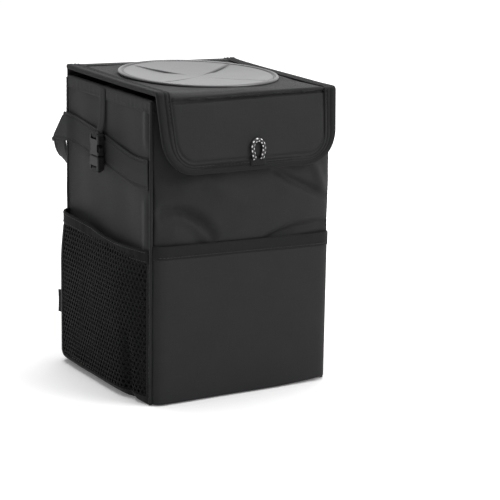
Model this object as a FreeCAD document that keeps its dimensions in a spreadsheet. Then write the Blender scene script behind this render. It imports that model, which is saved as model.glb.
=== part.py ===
import FreeCAD, Part
import os
import Sketcher
from math import atan2, cos, pi, radians, sin, sqrt, tan

# A cloth car litter bin: a sewn box with stiffened walls, a hinged lid with a slit rubber cover and a
# front flap, a flat front pocket, two net side pockets, side buckles and a strap behind the back.
# Frame: millimetres, +Z up, the front faces -Y, the origin is the middle of the underside.

V = FreeCAD.Vector
doc = FreeCAD.newDocument("car_litter_bin")

# Driving sizes

SIZES = (
    ("body_width", 160.0, "outer width of the cloth walls"),
    ("body_depth", 150.0, "outer depth of the cloth walls"),
    ("body_height", 250.0, "height of the lid's cloth above the floor"),
    ("cloth", 1.0, "thickness of the outer cloth"),
    ("wall_board", 2.0, "stiffener in the walls"),
    ("floor_board", 3.0, "stiffener in the base"),
    ("liner_wall", 0.8, "waterproof liner"),
    ("hem_height", 10.0, "height of the turned-over top edge"),
    ("hem_proud", 0.4, "how far the hem stands off the wall on either face"),
    ("rim_drop", 2.7, "how much lower the rim is at the front"),
    ("seat_gap", 0.3, "clearance between pieces that part"),
    ("piping_radius", 1.5, "seam cord on the upright corners"),
    ("slack_low", 150.0, "height where the front cloth leaves its board"),
    ("edge_slack", 0.1, "bulge of the front cloth at its side seams"),
    ("lid_stiffener", 1.5, "board in the lid"),
    ("lid_under", 0.8, "lining under the lid"),
    ("lid_reach", 1.0, "lid beyond the wall on each side"),
    ("lid_overhang", 8.5, "fold of the flap ahead of the front wall"),
    ("binding", 0.7, "thickness of the binding tape"),
    ("binding_width", 11.0, "visible width of the binding tape"),
    ("binding_foot", 8.0, "visible width of the tape at the flap's lower edge"),
    ("strip_thick", 0.7, "cloth hinge strip"),
    ("strip_drop", 26.0, "height of the cloth hinge strip"),
    ("cover_margin", 4.5, "cloth between the round rubber cover and the binding"),
    ("cover_thick", 2.4, "thickness of the rubber cover"),
    ("cover_lap", 7.0, "rim of the cover that lies on the cloth"),
    ("cover_sag", 6.0, "dish of the cover towards its middle"),
    ("bead_width", 2.8, "raised bead on the cover's rim"),
    ("bead_rise", 0.7, "raised bead on the cover's rim"),
    ("slit_end", 9.5, "whole rubber between a cut and the cover's edge"),
    ("slit_width", 1.0, "width of each cut in the cover"),
    ("slit_turn", 35.0, "turn of the crossed cuts, degrees"),
    ("flap_drop", 62.5, "length of the flap below its fold"),
    ("flap_ply", 1.5, "each of the flap's two plies"),
    ("flap_corner", 28.0, "radius of the flap's lower corners"),
    ("flap_tilt", 7.5, "lean of the flap away from the wall, degrees"),
    ("patch_width", 70.0, "hook and loop fastener"),
    ("patch_height", 18.0, "hook and loop fastener"),
    ("patch_thick", 1.2, "each half of the fastener"),
    ("loop_shift", 4.2, "pull loop to the right of the middle"),
    ("cord_width", 3.2, "diameter of the pull loop's cord"),
    ("tack_width", 14.0, "sewn tack over the ends of the pull loop"),
    ("tack_height", 7.5, "sewn tack over the ends of the pull loop"),
    ("tack_thick", 2.9, "sewn tack over the ends of the pull loop"),
    ("tack_corner", 1.5, "corner radius of the tack"),
    ("pocket_top", 127.0, "top of the front pocket"),
    ("pocket_depth", 6.5, "front pocket's face ahead of the wall"),
    ("pocket_corner", 5.0, "outer corner radius of the front pocket"),
    ("band_height", 12.5, "bound top edge of the front pocket"),
    ("band_proud", 0.5, "band beyond the pocket's cloth on either face"),
    ("net_top", 127.0, "top of the side pockets"),
    ("net_depth", 12.0, "side pocket's face beyond the wall"),
    ("net_corner", 10.0, "outer corner radius of the side pockets"),
    ("net_thick", 1.0, "net of the side pockets"),
    ("net_band", 10.0, "elastic top band of the side pockets"),
    ("net_pitch", 13.0, "spacing of the net's gaps along a row"),
    ("net_row", 11.0, "spacing of the net's rows"),
    ("net_gap", 9.0, "width of one gap in the net"),
    ("net_bar", 1.6, "margin between a gap and the next row"),
    ("strap_width", 24.0, "webbing strap"),
    ("strap_thick", 1.4, "webbing strap"),
    ("strap_front", 3.0, "strap's middle at the front seam below the side buckle's joint line"),
    ("strap_rise", 15.5, "rise of the strap to the back edge"),
    ("strap_reach", 26.0, "middle of the strap buckle behind the back wall"),
    ("strap_sag", 48.0, "drop of the strap from the back edge to its buckle"),
    ("strap_ramp", 13.0, "stretch in which the strap rises over the back seam cord"),
    ("strap_swing", 28.0, "how far the strap has turned in behind the back at its widest bow"),
    ("strap_lead", 14.0, "stretch in which the strap runs into its buckle"),
    ("clip_back", 8.0, "side buckle behind the middle of the side"),
    ("clip_mouth", 63.0, "joint line of the side buckle below the lid's cloth"),
    ("clip_off", 2.8, "back of the side buckle off the wall"),
    ("clip_web", 10.0, "side buckle: width of its tape"),
    ("clip_tape", 1.0, "side buckle: thickness of its tape"),
    ("clip_width", 16.0, "side buckle"),
    ("clip_socket", 17.5, "side buckle: length of the socket"),
    ("clip_plug", 12.0, "side buckle: length of the plug's grip"),
    ("clip_thick", 6.0, "side buckle"),
    ("clip_bar", 2.2, "side buckle: bar that the tape goes round"),
    ("latch_width", 33.0, "strap buckle"),
    ("latch_socket", 30.0, "strap buckle: length of the socket"),
    ("latch_plug", 20.0, "strap buckle: length of the plug's grip"),
    ("latch_thick", 10.0, "strap buckle"),
    ("latch_bar", 3.2, "strap buckle: bar that the strap goes round"),
    ("moulding_wall", 1.2, "wall of the moulded buckles"),
    ("fit_gap", 0.2, "clearance inside the buckles"),
    ("tab_height", 20.0, "blank tab in the back left seam"),
    ("tab_reach", 12.0, "blank tab in the back left seam"),
    ("tab_thick", 1.6, "blank tab in the back left seam"),
    ("tab_low", 37.0, "underside of the blank tab"),
)


class Dim:
    """A number together with the expression that ties it to the sheet."""

    def __init__(self, value, text):
        self.value = float(value)
        self.text = text

    def __add__(self, other):
        other = dim(other)
        return Dim(self.value + other.value, "(%s + %s)" % (self.text, other.text))

    def __sub__(self, other):
        other = dim(other)
        return Dim(self.value - other.value, "(%s - %s)" % (self.text, other.text))

    def __mul__(self, other):
        other = dim(other)
        return Dim(self.value * other.value, "(%s * %s)" % (self.text, other.text))

    def __truediv__(self, other):
        other = dim(other)
        return Dim(self.value / other.value, "(%s / %s)" % (self.text, other.text))

    def __neg__(self):
        return self * -1


def dim(number):
    """A plain number as a Dim."""
    if isinstance(number, Dim):
        return number
    return Dim(number, "(%.6f)" % number)


def dcos(angle):
    """Cosine of an angle in degrees."""
    return Dim(cos(radians(angle.value)), "cos(%s * 1 deg)" % angle.text)


def dsin(angle):
    """Sine of an angle in degrees."""
    return Dim(sin(radians(angle.value)), "sin(%s * 1 deg)" % angle.text)


sheet = doc.addObject("Spreadsheet::Sheet", "Sizes")
S = {}
for row, (alias, number, note) in enumerate(SIZES, 1):
    sheet.set("A%d" % row, alias)
    sheet.set("B%d" % row, str(number))
    sheet.setAlias("B%d" % row, alias)
    sheet.set("C%d" % row, note)
    S[alias] = Dim(number, "Sizes." + alias)
doc.recompute()

# Derived places

half_w = S["body_width"] / 2
half_d = S["body_depth"] / 2
cloth = S["cloth"]
gap = S["seat_gap"]
floor_top = cloth + S["floor_board"]
lid_top = S["body_height"]
lid_under = lid_top - cloth - S["lid_stiffener"] - S["lid_under"]
rim_back = lid_under - S["binding"] - gap
rim_slope = S["rim_drop"] / (S["body_depth"] + S["hem_proud"] * 2)
hem_back = half_d + S["hem_proud"]
fold_y = -(half_d + S["lid_overhang"])
fold_z = lid_top - S["flap_ply"] - S["binding"]
lid_half = half_w + S["lid_reach"]
lid_back = hem_back + S["strip_thick"]
lid_front = fold_y + S["flap_ply"] + S["binding"] + gap
lid_middle = (lid_back + fold_y) / 2
cover_radius = lid_half - S["binding_width"] - S["cover_margin"]
clip_z = lid_top - S["clip_mouth"]
board_x = half_w - cloth
board_y = half_d - cloth
liner_x = board_x - S["wall_board"]
liner_y = board_y - S["wall_board"]
seam = S["piping_radius"] + gap / 2
loop_back = S["flap_ply"] + S["patch_thick"] * 2 + gap
patch_drop = S["flap_drop"] - S["binding_foot"] - S["patch_height"] / 2 - gap
slack = (S["lid_overhang"] - loop_back * dcos(S["flap_tilt"])
         + patch_drop * dsin(S["flap_tilt"]) - gap / 2)


def wall_top(place):
    """Height of the hem's lower edge at a distance along Y: the rim falls towards the front."""
    return rim_back - S["hem_height"] - rim_slope * (hem_back - place)


pieces = []


def keep(thing, label):
    """Names a finished sub-part."""
    thing.Label = label
    pieces.append(thing)
    return thing


def place(thing, x, y, z):
    """Ties a piece's position to the sheet."""
    for axis, value in zip("xyz", (x, y, z)):
        thing.setExpression("Placement.Base." + axis, dim(value).text)


def box(label, low, high):
    """A flat sheet or board between two corners."""
    thing = doc.addObject("Part::Box", label)
    for name, a, b in zip(("Length", "Width", "Height"), low, high):
        thing.setExpression(name, (dim(b) - a).text)
    place(thing, *low)
    return keep(thing, label)


def new_body(label):
    """An empty body for a piece made from sketches."""
    return keep(doc.addObject("PartDesign::Body", label), label)


def origin_part(body, role):
    """A plane or axis of the body's own origin."""
    return [f for f in body.Origin.OriginFeatures if f.Role == role][0]


def new_sketch(body, role, offset):
    """A sketch on one of the body's origin planes, moved along the plane's normal."""
    sketch = body.newObject("Sketcher::SketchObject", "sketch")
    sketch.AttachmentSupport = [(origin_part(body, role), "")]
    sketch.MapMode = "FlatFace"
    sketch.setExpression("AttachmentOffset.Base.z", dim(offset).text)
    return sketch


def tie(sketch, geometry, end, u, v):
    """Fixes a sketch point at u, v from the origin."""
    for kind, size in (("DistanceX", u), ("DistanceY", v)):
        k = sketch.addConstraint(Sketcher.Constraint(kind, -1, 1, geometry, end, size.value))
        sketch.setExpression("Constraints[%d]" % k, size.text)


def tie_radius(sketch, geometry, size):
    """Fixes the radius of an arc or circle."""
    k = sketch.addConstraint(Sketcher.Constraint("Radius", geometry, size.value))
    sketch.setExpression("Constraints[%d]" % k, size.text)


def unit(a, b):
    """Direction from a to b along U or V, for corners that are square."""
    du, dv = b[0].value - a[0].value, b[1].value - a[1].value
    if abs(du) > abs(dv):
        return (1 if du > 0 else -1, 0)
    return (0, 1 if dv > 0 else -1)


def add_arc(sketch, start, end, middle, radius):
    """An arc from start to end round its middle; returns its number and which end comes first."""
    a0 = atan2(start[1].value - middle[1].value, start[0].value - middle[0].value)
    a1 = atan2(end[1].value - middle[1].value, end[0].value - middle[0].value)
    forward = ((a1 - a0) % (2 * pi)) < pi
    circle = Part.Circle(V(middle[0].value, middle[1].value, 0), V(0, 0, 1), radius.value)
    if forward:
        return sketch.addGeometry(Part.ArcOfCircle(circle, a0, a1), False), 1, 2
    return sketch.addGeometry(Part.ArcOfCircle(circle, a1, a0), False), 2, 1


def outline(sketch, corners):
    """A closed line through the corners (u, v); a square corner given as (u, v, r) is rounded."""
    corners = [tuple(dim(c) for c in corner) for corner in corners]
    count = len(corners)
    runs = []
    for i, corner in enumerate(corners):
        if len(corner) == 2:
            runs.append((corner, corner, None))
            continue
        u, v, r = corner
        back = unit(corner, corners[i - 1])
        ahead = unit(corner, corners[(i + 1) % count])
        start = (u + r * back[0], v + r * back[1])
        end = (u + r * ahead[0], v + r * ahead[1])
        middle = (u + r * (back[0] + ahead[0]), v + r * (back[1] + ahead[1]))
        runs.append((start, end, (middle, r)))
    lines = []
    for i in range(count):
        a, b = runs[i][1], runs[(i + 1) % count][0]
        line = Part.LineSegment(V(a[0].value, a[1].value, 0), V(b[0].value, b[1].value, 0))
        lines.append(sketch.addGeometry(line, False))
        tie(sketch, lines[-1], 1, a[0], a[1])
    for i in range(count):
        before, after = lines[i - 1], lines[i]
        start, end, round_off = runs[i]
        if round_off is None:
            sketch.addConstraint(Sketcher.Constraint("Coincident", before, 2, after, 1))
            continue
        tie(sketch, before, 2, start[0], start[1])
        arc, first, last = add_arc(sketch, start, end, round_off[0], round_off[1])
        sketch.addConstraint(Sketcher.Constraint("Coincident", before, 2, arc, first))
        sketch.addConstraint(Sketcher.Constraint("Coincident", after, 1, arc, last))
        tie_radius(sketch, arc, round_off[1])


def circle(sketch, u, v, r):
    """A full circle in a sketch."""
    u, v, r = dim(u), dim(v), dim(r)
    ring = sketch.addGeometry(Part.Circle(V(u.value, v.value, 0), V(0, 0, 1), r.value), False)
    tie(sketch, ring, 3, u, v)
    tie_radius(sketch, ring, r)


def extrude(body, kind, sketch, length, middle=False, reverse=False):
    """A pad or a pocket of a sketch, to one side or to both sides of its plane."""
    feature = body.newObject("PartDesign::" + kind, kind)
    feature.Profile = sketch
    feature.setExpression("Length", dim(length).text)
    if middle:
        feature.SideType = "Symmetric"
    feature.Reversed = reverse
    return feature


def pad(body, role, offset, corners, length, middle=False):
    """A pad of a closed outline."""
    sketch = new_sketch(body, role, offset)
    outline(sketch, corners)
    return extrude(body, "Pad", sketch, length, middle)


def cut(body, role, corners, length):
    """A pocket of a closed outline, to both sides of an origin plane."""
    sketch = new_sketch(body, role, 0)
    outline(sketch, corners)
    return extrude(body, "Pocket", sketch, length, True)


def plate(label, role, offset, corners, length):
    """A piece made by one pad."""
    body = new_body(label)
    pad(body, role, offset, corners, length)
    return body


def rect(u0, u1, v0, v1):
    """Corners of a rectangle."""
    return [(u0, v0), (u1, v0), (u1, v1), (u0, v1)]


def rounded(u0, u1, v0, v1, r):
    """Corners of a rectangle with rounded corners."""
    return [corner + (r,) for corner in rect(u0, u1, v0, v1)]


def soften(body, size, test):
    """Bevels the edges of a body's last feature that pass a test."""
    doc.recompute()
    tip = body.Tip
    names = ["Edge%d" % k for k, edge in enumerate(tip.Shape.Edges, 1) if test(edge.BoundBox)]
    bevel = body.newObject("PartDesign::Chamfer", "Chamfer")
    bevel.Base = (tip, names)
    bevel.setExpression("Size", dim(size).text)


# Base, walls and stiffeners

box("base_panel", (-half_w, -half_d, 0), (half_w, half_d, cloth))
box("base_board", (-board_x, -board_y, cloth), (board_x, board_y, floor_top))

for name, side in (("left", -1), ("right", 1)):
    face = half_w * side
    skin = [(-half_d, cloth), (half_d, cloth), (half_d, wall_top(half_d)), (-half_d, wall_top(-half_d))]
    core = [(-liner_y, floor_top), (liner_y, floor_top), (liner_y, wall_top(liner_y)),
            (-liner_y, wall_top(-liner_y))]
    low_x = face if side < 0 else face - cloth
    plate(name + "_panel", "YZ_Plane", low_x, skin, cloth)
    low_x = face + cloth if side < 0 else face - cloth - S["wall_board"]
    plate(name + "_board", "YZ_Plane", low_x, core, S["wall_board"])

box("back_panel", (-board_x, board_y, cloth), (board_x, half_d, wall_top(board_y)))
box("back_board", (-board_x, liner_y, floor_top), (board_x, board_y, wall_top(liner_y)))
box("front_board", (-board_x, -board_y, floor_top), (board_x, -liner_y, wall_top(-board_y)))

# The front cloth is flat behind the pocket and bulges forward above it, most in the middle.

front_panel = new_body("front_panel")
slack_top = wall_top(-half_d)
chord = slack_top - S["slack_low"]


def front_section(offset, bulge):
    """Outline of the front cloth in a plane across X: two straight stretches and two arcs."""
    sketch = new_sketch(front_panel, "YZ_Plane", offset)
    radius = (chord * chord / 4 + bulge * bulge) / (bulge * 2)
    middle_z = S["slack_low"] + chord / 2
    corners = [(-half_d, cloth), (-half_d, S["slack_low"]), (-half_d, slack_top),
               (-board_y, slack_top), (-board_y, S["slack_low"]), (-board_y, cloth)]
    lines = []
    for a, b in ((0, 1), (2, 3), (4, 5), (5, 0)):
        p, q = corners[a], corners[b]
        line = Part.LineSegment(V(p[0].value, p[1].value, 0), V(q[0].value, q[1].value, 0))
        lines.append(sketch.addGeometry(line, False))
        tie(sketch, lines[-1], 1, p[0], p[1])
    foot, rim, inner, base = lines
    tie(sketch, foot, 2, *corners[1])
    tie(sketch, rim, 2, *corners[3])
    sketch.addConstraint(Sketcher.Constraint("Coincident", inner, 2, base, 1))
    sketch.addConstraint(Sketcher.Constraint("Coincident", base, 2, foot, 1))
    for face, start, end in ((-half_d, (foot, 2), (rim, 1)), (-board_y, (inner, 1), (rim, 2))):
        middle = (face - bulge + radius, middle_z)
        low, high = (face, S["slack_low"]), (face, slack_top)
        arc, first, last = add_arc(sketch, low, high, middle, radius)
        sketch.addConstraint(Sketcher.Constraint("Coincident", start[0], start[1], arc, first))
        sketch.addConstraint(Sketcher.Constraint("Coincident", end[0], end[1], arc, last))
        tie_radius(sketch, arc, radius)
    return sketch


front_loft = front_panel.newObject("PartDesign::AdditiveLoft", "Loft")
sections = [front_section(seam - half_w, S["edge_slack"]), front_section(dim(0), slack),
            front_section(half_w - seam, S["edge_slack"])]
front_loft.Profile = sections[0]
front_loft.Sections = sections[1:]

# Liner tub and the turned-over rim, both cut to the rim's slope

liner = new_body("liner")
tub = [(-liner_y, floor_top), (liner_y, floor_top), (liner_y, wall_top(liner_y)),
       (-liner_y, wall_top(-liner_y))]
pad(liner, "YZ_Plane", 0, tub, liner_x * 2, True)
hollow = new_sketch(liner, "XY_Plane", floor_top + S["liner_wall"])
inner_x = liner_x - S["liner_wall"]
inner_y = liner_y - S["liner_wall"]
outline(hollow, rect(-inner_x, inner_x, -inner_y, inner_y))
extrude(liner, "Pocket", hollow, S["body_height"], False, True)

rim_hem = new_body("rim_hem")
low_back, low_front = wall_top(hem_back), wall_top(-hem_back)
ring = [(-hem_back, low_front), (hem_back, low_back), (hem_back, low_back + S["hem_height"]),
        (-hem_back, low_front + S["hem_height"])]
pad(rim_hem, "YZ_Plane", 0, ring, (half_w + S["hem_proud"]) * 2, True)
mouth_x = inner_x - S["hem_proud"]
mouth_y = inner_y - S["hem_proud"]
cut(rim_hem, "XY_Plane", rect(-mouth_x, mouth_x, -mouth_y, mouth_y), S["body_height"] * 3)

# Seam cords: three quarters of a round, hugging each upright corner

for label, sx, sy, turn in (("piping_front_left", -1, -1, 90), ("piping_front_right", 1, -1, 180),
                            ("piping_back_right", 1, 1, 270), ("piping_back_left", -1, 1, 0)):
    cord = doc.addObject("Part::Cylinder", label)
    cord.setExpression("Radius", S["piping_radius"].text)
    cord.setExpression("Height", wall_top(half_d * sy - S["piping_radius"]).text)
    cord.Angle = 270
    cord.Placement = FreeCAD.Placement(V(0, 0, 0), FreeCAD.Rotation(V(0, 0, 1), turn))
    place(cord, half_w * sx, half_d * sy, 0)
    keep(cord, label)

# Pockets: thin walls that stand off the body, open at the top, each with a bound top edge

pocket_half = half_w - seam
pocket_face = half_d + S["pocket_depth"]


def tray(half, near, far, wall, corner):
    """Plan of a pocket wall: a flat U with rounded outer corners, (along, away) from the body."""
    inner = corner - wall
    return [(-half, near), (-half, far, corner), (half, far, corner), (half, near),
            (half - wall, near), (half - wall, far - wall, inner), (-half + wall, far - wall, inner),
            (-half + wall, near)]


def as_front(corners):
    """Turns (along, away) into X and Y at the front."""
    return [(c[0], -dim(c[1])) + tuple(c[2:]) for c in corners]


def as_side(corners, side):
    """Turns (along, away) into X and Y at the left or right."""
    return [(dim(c[1]) * side, c[0]) + tuple(c[2:]) for c in corners]


front_pocket = new_body("front_pocket")
wall_up = S["pocket_top"] - S["band_height"] - cloth
shape = as_front(tray(pocket_half, half_d, pocket_face, cloth, S["pocket_corner"]))
pad(front_pocket, "XY_Plane", cloth, shape, wall_up)
floor = [(-pocket_half + cloth, half_d), (-pocket_half + cloth, pocket_face - cloth),
         (pocket_half - cloth, pocket_face - cloth), (pocket_half - cloth, half_d)]
inner_corner = S["pocket_corner"] - cloth
floor[1] = floor[1] + (inner_corner,)
floor[2] = floor[2] + (inner_corner,)
pad(front_pocket, "XY_Plane", cloth, as_front(floor), cloth)

proud = S["band_proud"]
band_wall = cloth + proud * 2
shape = as_front(tray(pocket_half, half_d, pocket_face + proud, band_wall, S["pocket_corner"] + proud))
plate("front_pocket_band", "XY_Plane", S["pocket_top"] - S["band_height"], shape, S["band_height"])

net_half = half_d - seam
net_face = half_w + S["net_depth"]


def net_gaps(body, side, low, columns, rows):
    """Rows of lozenge gaps through the flat face of a net pocket."""
    half_gap = S["net_gap"] / 2
    half_row = S["net_row"] - S["net_bar"]
    sketch = new_sketch(body, "YZ_Plane", (net_face + proud) * side)
    start = -S["net_pitch"] * (columns - 1) / 2
    outline(sketch, [(start - half_gap, low), (start, low - half_row), (start + half_gap, low),
                     (start, low + half_row)])
    hole = extrude(body, "Pocket", sketch, S["net_thick"] + proud * 2, False, side < 0)
    along = doc.addObject("PartDesign::LinearPattern", "along")
    along.Direction = (sketch, ["H_Axis"])
    along.setExpression("Length", (S["net_pitch"] * (columns - 1)).text)
    along.Occurrences = columns
    upward = doc.addObject("PartDesign::LinearPattern", "upward")
    upward.Direction = (sketch, ["V_Axis"])
    upward.setExpression("Length", (S["net_row"] * 2 * (rows - 1)).text)
    upward.Occurrences = rows
    grid = body.newObject("PartDesign::MultiTransform", "grid")
    grid.Originals = [hole]
    grid.Transformations = [along, upward]
    body.Tip = grid


for name, side in (("left", -1), ("right", 1)):
    net = new_body(name + "_mesh_pocket")
    thin = S["net_thick"]
    shape = as_side(tray(net_half, half_w, net_face, thin, S["net_corner"]), side)
    net_up = S["net_top"] - S["net_band"] - cloth
    pad(net, "XY_Plane", cloth, shape, net_up)
    corner = S["net_corner"] - thin
    floor = [(-net_half + thin, half_w), (-net_half + thin, net_face - thin, corner),
             (net_half - thin, net_face - thin, corner), (net_half - thin, half_w)]
    pad(net, "XY_Plane", cloth, as_side(floor, side), cloth)
    free_up = net_up - cloth * 2 - S["net_bar"] * 2
    rows = int(free_up.value / (S["net_row"].value * 2))
    columns = int((net_half - S["net_corner"]).value * 2 / S["net_pitch"].value)
    first = cloth * 2 + S["net_bar"] + S["net_row"]
    net_gaps(net, side, first, columns, rows)
    net_gaps(net, side, first + S["net_row"], columns - 1, rows - 1)
    band_wall = thin + proud * 2
    shape = as_side(tray(net_half, half_w, net_face + proud, band_wall, S["net_corner"] + proud), side)
    plate(name + "_pocket_band", "XY_Plane", S["net_top"] - S["net_band"], shape, S["net_band"])

# Lid: cloth, board and lining with a round hole, bound side edges, and the slit rubber cover, which
# lies on the cloth with a beaded rim and is dished towards its middle

strip_half = half_w - seam
box("hinge_strip", (-strip_half, hem_back, rim_back - S["strip_drop"]), (strip_half, lid_back, rim_back))

lid_inner = lid_half - S["binding"]
hole_r = cover_radius - S["cover_lap"]
stack = (("lid_lining", lid_under, S["lid_under"]),
         ("lid_board", lid_under + S["lid_under"], S["lid_stiffener"]),
         ("lid_cloth", lid_top - cloth, cloth))
for label, low, thick in stack:
    layer = new_body(label)
    sketch = new_sketch(layer, "XY_Plane", low)
    outline(sketch, rect(-lid_inner, lid_inner, lid_front, lid_back))
    circle(sketch, 0, lid_middle, hole_r)
    extrude(layer, "Pad", sketch, thick)

tape = S["binding"]
for name, side in (("left", -1), ("right", 1)):
    outer = lid_half * side
    edge = lid_inner * side
    inner = (lid_half - S["binding_width"]) * side
    channel = [(inner, lid_top), (edge, lid_top), (edge, lid_under), (inner, lid_under),
               (inner, lid_under - tape), (outer, lid_under - tape), (outer, lid_top + tape),
               (inner, lid_top + tape)]
    plate("lid_binding_" + name, "XZ_Plane", -lid_back, channel, lid_back - lid_front)

cover = new_body("slit_cover")
cover.Placement = FreeCAD.Placement(V(0, 0, 0), FreeCAD.Rotation(V(0, 0, 1), 1))
place(cover, 0, lid_middle, lid_top)
cover.setExpression("Placement.Rotation.Angle", S["slit_turn"].text)
thick, sag = S["cover_thick"], S["cover_sag"]
steps = [(hole_r * t, -sag * (1 - t ** 1.5)) for t in (2 / 3, 1 / 3, 0)]
bead_in = cover_radius - S["bead_width"]
slope = S["bead_width"] / 4
section = [(cover_radius, dim(0)), (cover_radius, thick + S["bead_rise"] / 2),
           (cover_radius - slope, thick + S["bead_rise"]), (bead_in + slope, thick + S["bead_rise"]),
           (bead_in, thick), (hole_r, thick)]
section += [(r, thick + drop) for r, drop in steps]
section += [(r, drop) for r, drop in reversed(steps)]
section += [(hole_r, dim(0))]
sketch = new_sketch(cover, "XZ_Plane", 0)
outline(sketch, section)
turned = cover.newObject("PartDesign::Revolution", "Revolution")
turned.Profile = sketch
turned.ReferenceAxis = (sketch, ["V_Axis"])
turned.Angle = 360
long, thin = cover_radius - S["slit_end"], S["slit_width"] / 2
cross = [(thin, thin), (thin, long), (-thin, long), (-thin, thin), (-long, thin), (-long, -thin),
         (-thin, -thin), (-thin, -long), (thin, -long), (thin, -thin), (long, -thin), (long, thin)]
cut(cover, "XY_Plane", cross, (thick + sag) * 4)

# Flap: its pieces are drawn hanging straight down from the fold and are then leaned outward


def hang(thing):
    """Puts a piece drawn round the fold in its leaning place."""
    thing.Placement = FreeCAD.Placement(V(0, 0, 0), FreeCAD.Rotation(V(-1, 0, 0), 1))
    place(thing, 0, fold_y, fold_z)
    thing.setExpression("Placement.Rotation.Angle", S["flap_tilt"].text)
    return thing


def apron(half, top, low, corner):
    """Outline of the flap: square at the fold, rounded at its lower corners."""
    return [(-half, top), (-half, low, corner), (half, low, corner), (half, top)]


ply = S["flap_ply"]
flap_inner = half_w - tape
flap_low = -(S["flap_drop"] - tape)
flap_round = S["flap_corner"] - tape
for label, offset in (("flap_cloth", dim(0)), ("flap_lining", -ply)):
    hang(plate(label, "XZ_Plane", offset, apron(flap_inner, 0, flap_low, flap_round), ply))

trim = hang(new_body("flap_binding"))
trim_top = -(ply + tape)
pad(trim, "XZ_Plane", 0, apron(half_w, trim_top, -S["flap_drop"], S["flap_corner"]), (ply + tape) * 2, True)
cut(trim, "XZ_Plane", apron(flap_inner, 0, flap_low, flap_round), ply * 2)
window = apron(half_w - S["binding_width"], 0, -(S["flap_drop"] - S["binding_foot"]),
               S["flap_corner"] - S["binding_foot"])
cut(trim, "XZ_Plane", window, (ply + tape) * 4)

patch = rect(-S["patch_width"] / 2, S["patch_width"] / 2, -patch_drop - S["patch_height"] / 2,
             -patch_drop + S["patch_height"] / 2)
hook_face = ply + S["patch_thick"]
hang(plate("hook_patch", "XZ_Plane", -hook_face, patch, S["patch_thick"]))
hang(plate("loop_patch", "XZ_Plane", -loop_back, patch, S["patch_thick"]))

tack_low = -(S["flap_drop"] - S["binding_foot"] / 2)
tack_top = tack_low + S["tack_height"]
tack = rounded(S["loop_shift"] - S["tack_width"] / 2, S["loop_shift"] + S["tack_width"] / 2,
               tack_low, tack_top, S["tack_corner"])
hang(plate("loop_tack", "XZ_Plane", ply + tape, tack, S["tack_thick"]))

# The pull loop: a short cord from the tack up over the flap's face and back into the tack

CORD_ROUTE = ((-3.3, 0.45), (-4.5, 4.9), (-5.3, 9.7), (-3.6, 14.0), (0.2, 15.9), (3.9, 13.9), (5.4, 9.6),
              (4.6, 4.8), (3.4, 0.45))
cord_y = -(ply.value + tape.value + S["tack_thick"].value / 2 + 0.1)
route = [V(S["loop_shift"].value + u, cord_y, tack_top.value + w) for u, w in CORD_ROUTE]


def cord_path(points):
    """Straight runs joined by tangent arcs, each as large as its two runs allow."""
    edges, radii, start = [], [], points[0]
    for before, at, after in zip(points, points[1:], points[2:]):
        back = (before - at).normalize()
        ahead = (after - at).normalize()
        half_turn = (pi - back.getAngle(ahead)) / 2
        reach = 0.45 * min((before - at).Length, (after - at).Length)
        radii.append(reach / tan(half_turn))
        entry = at + back * reach
        leave = at + ahead * reach
        bisector = (back + ahead).normalize()
        depth = radii[-1] / cos(half_turn) - radii[-1]
        edges.append(Part.LineSegment(start, entry).toShape())
        edges.append(Part.Arc(entry, at + bisector * depth, leave).toShape())
        start = leave
    edges.append(Part.LineSegment(start, points[-1]).toShape())
    return Part.Wire(edges), radii


path, radii = cord_path(route)
profile = Part.Wire(Part.makeCircle(S["cord_width"].value / 2, route[0], route[1] - route[0]))
tube = path.makePipeShell([profile], True, True)
share = tube.Volume / (pi * S["cord_width"].value ** 2 / 4 * path.Length)
print("pull loop: length %.1f mm, radii %s, volume share %.4f"
      % (path.Length, [round(r, 1) for r in radii], share))
pull_loop = doc.addObject("Part::Feature", "pull_loop")
pull_loop.Shape = tube
hang(keep(pull_loop, "pull_loop"))

# Side-release buckles: a socket with side notches, and a plug whose two prongs fill the notches


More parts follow.
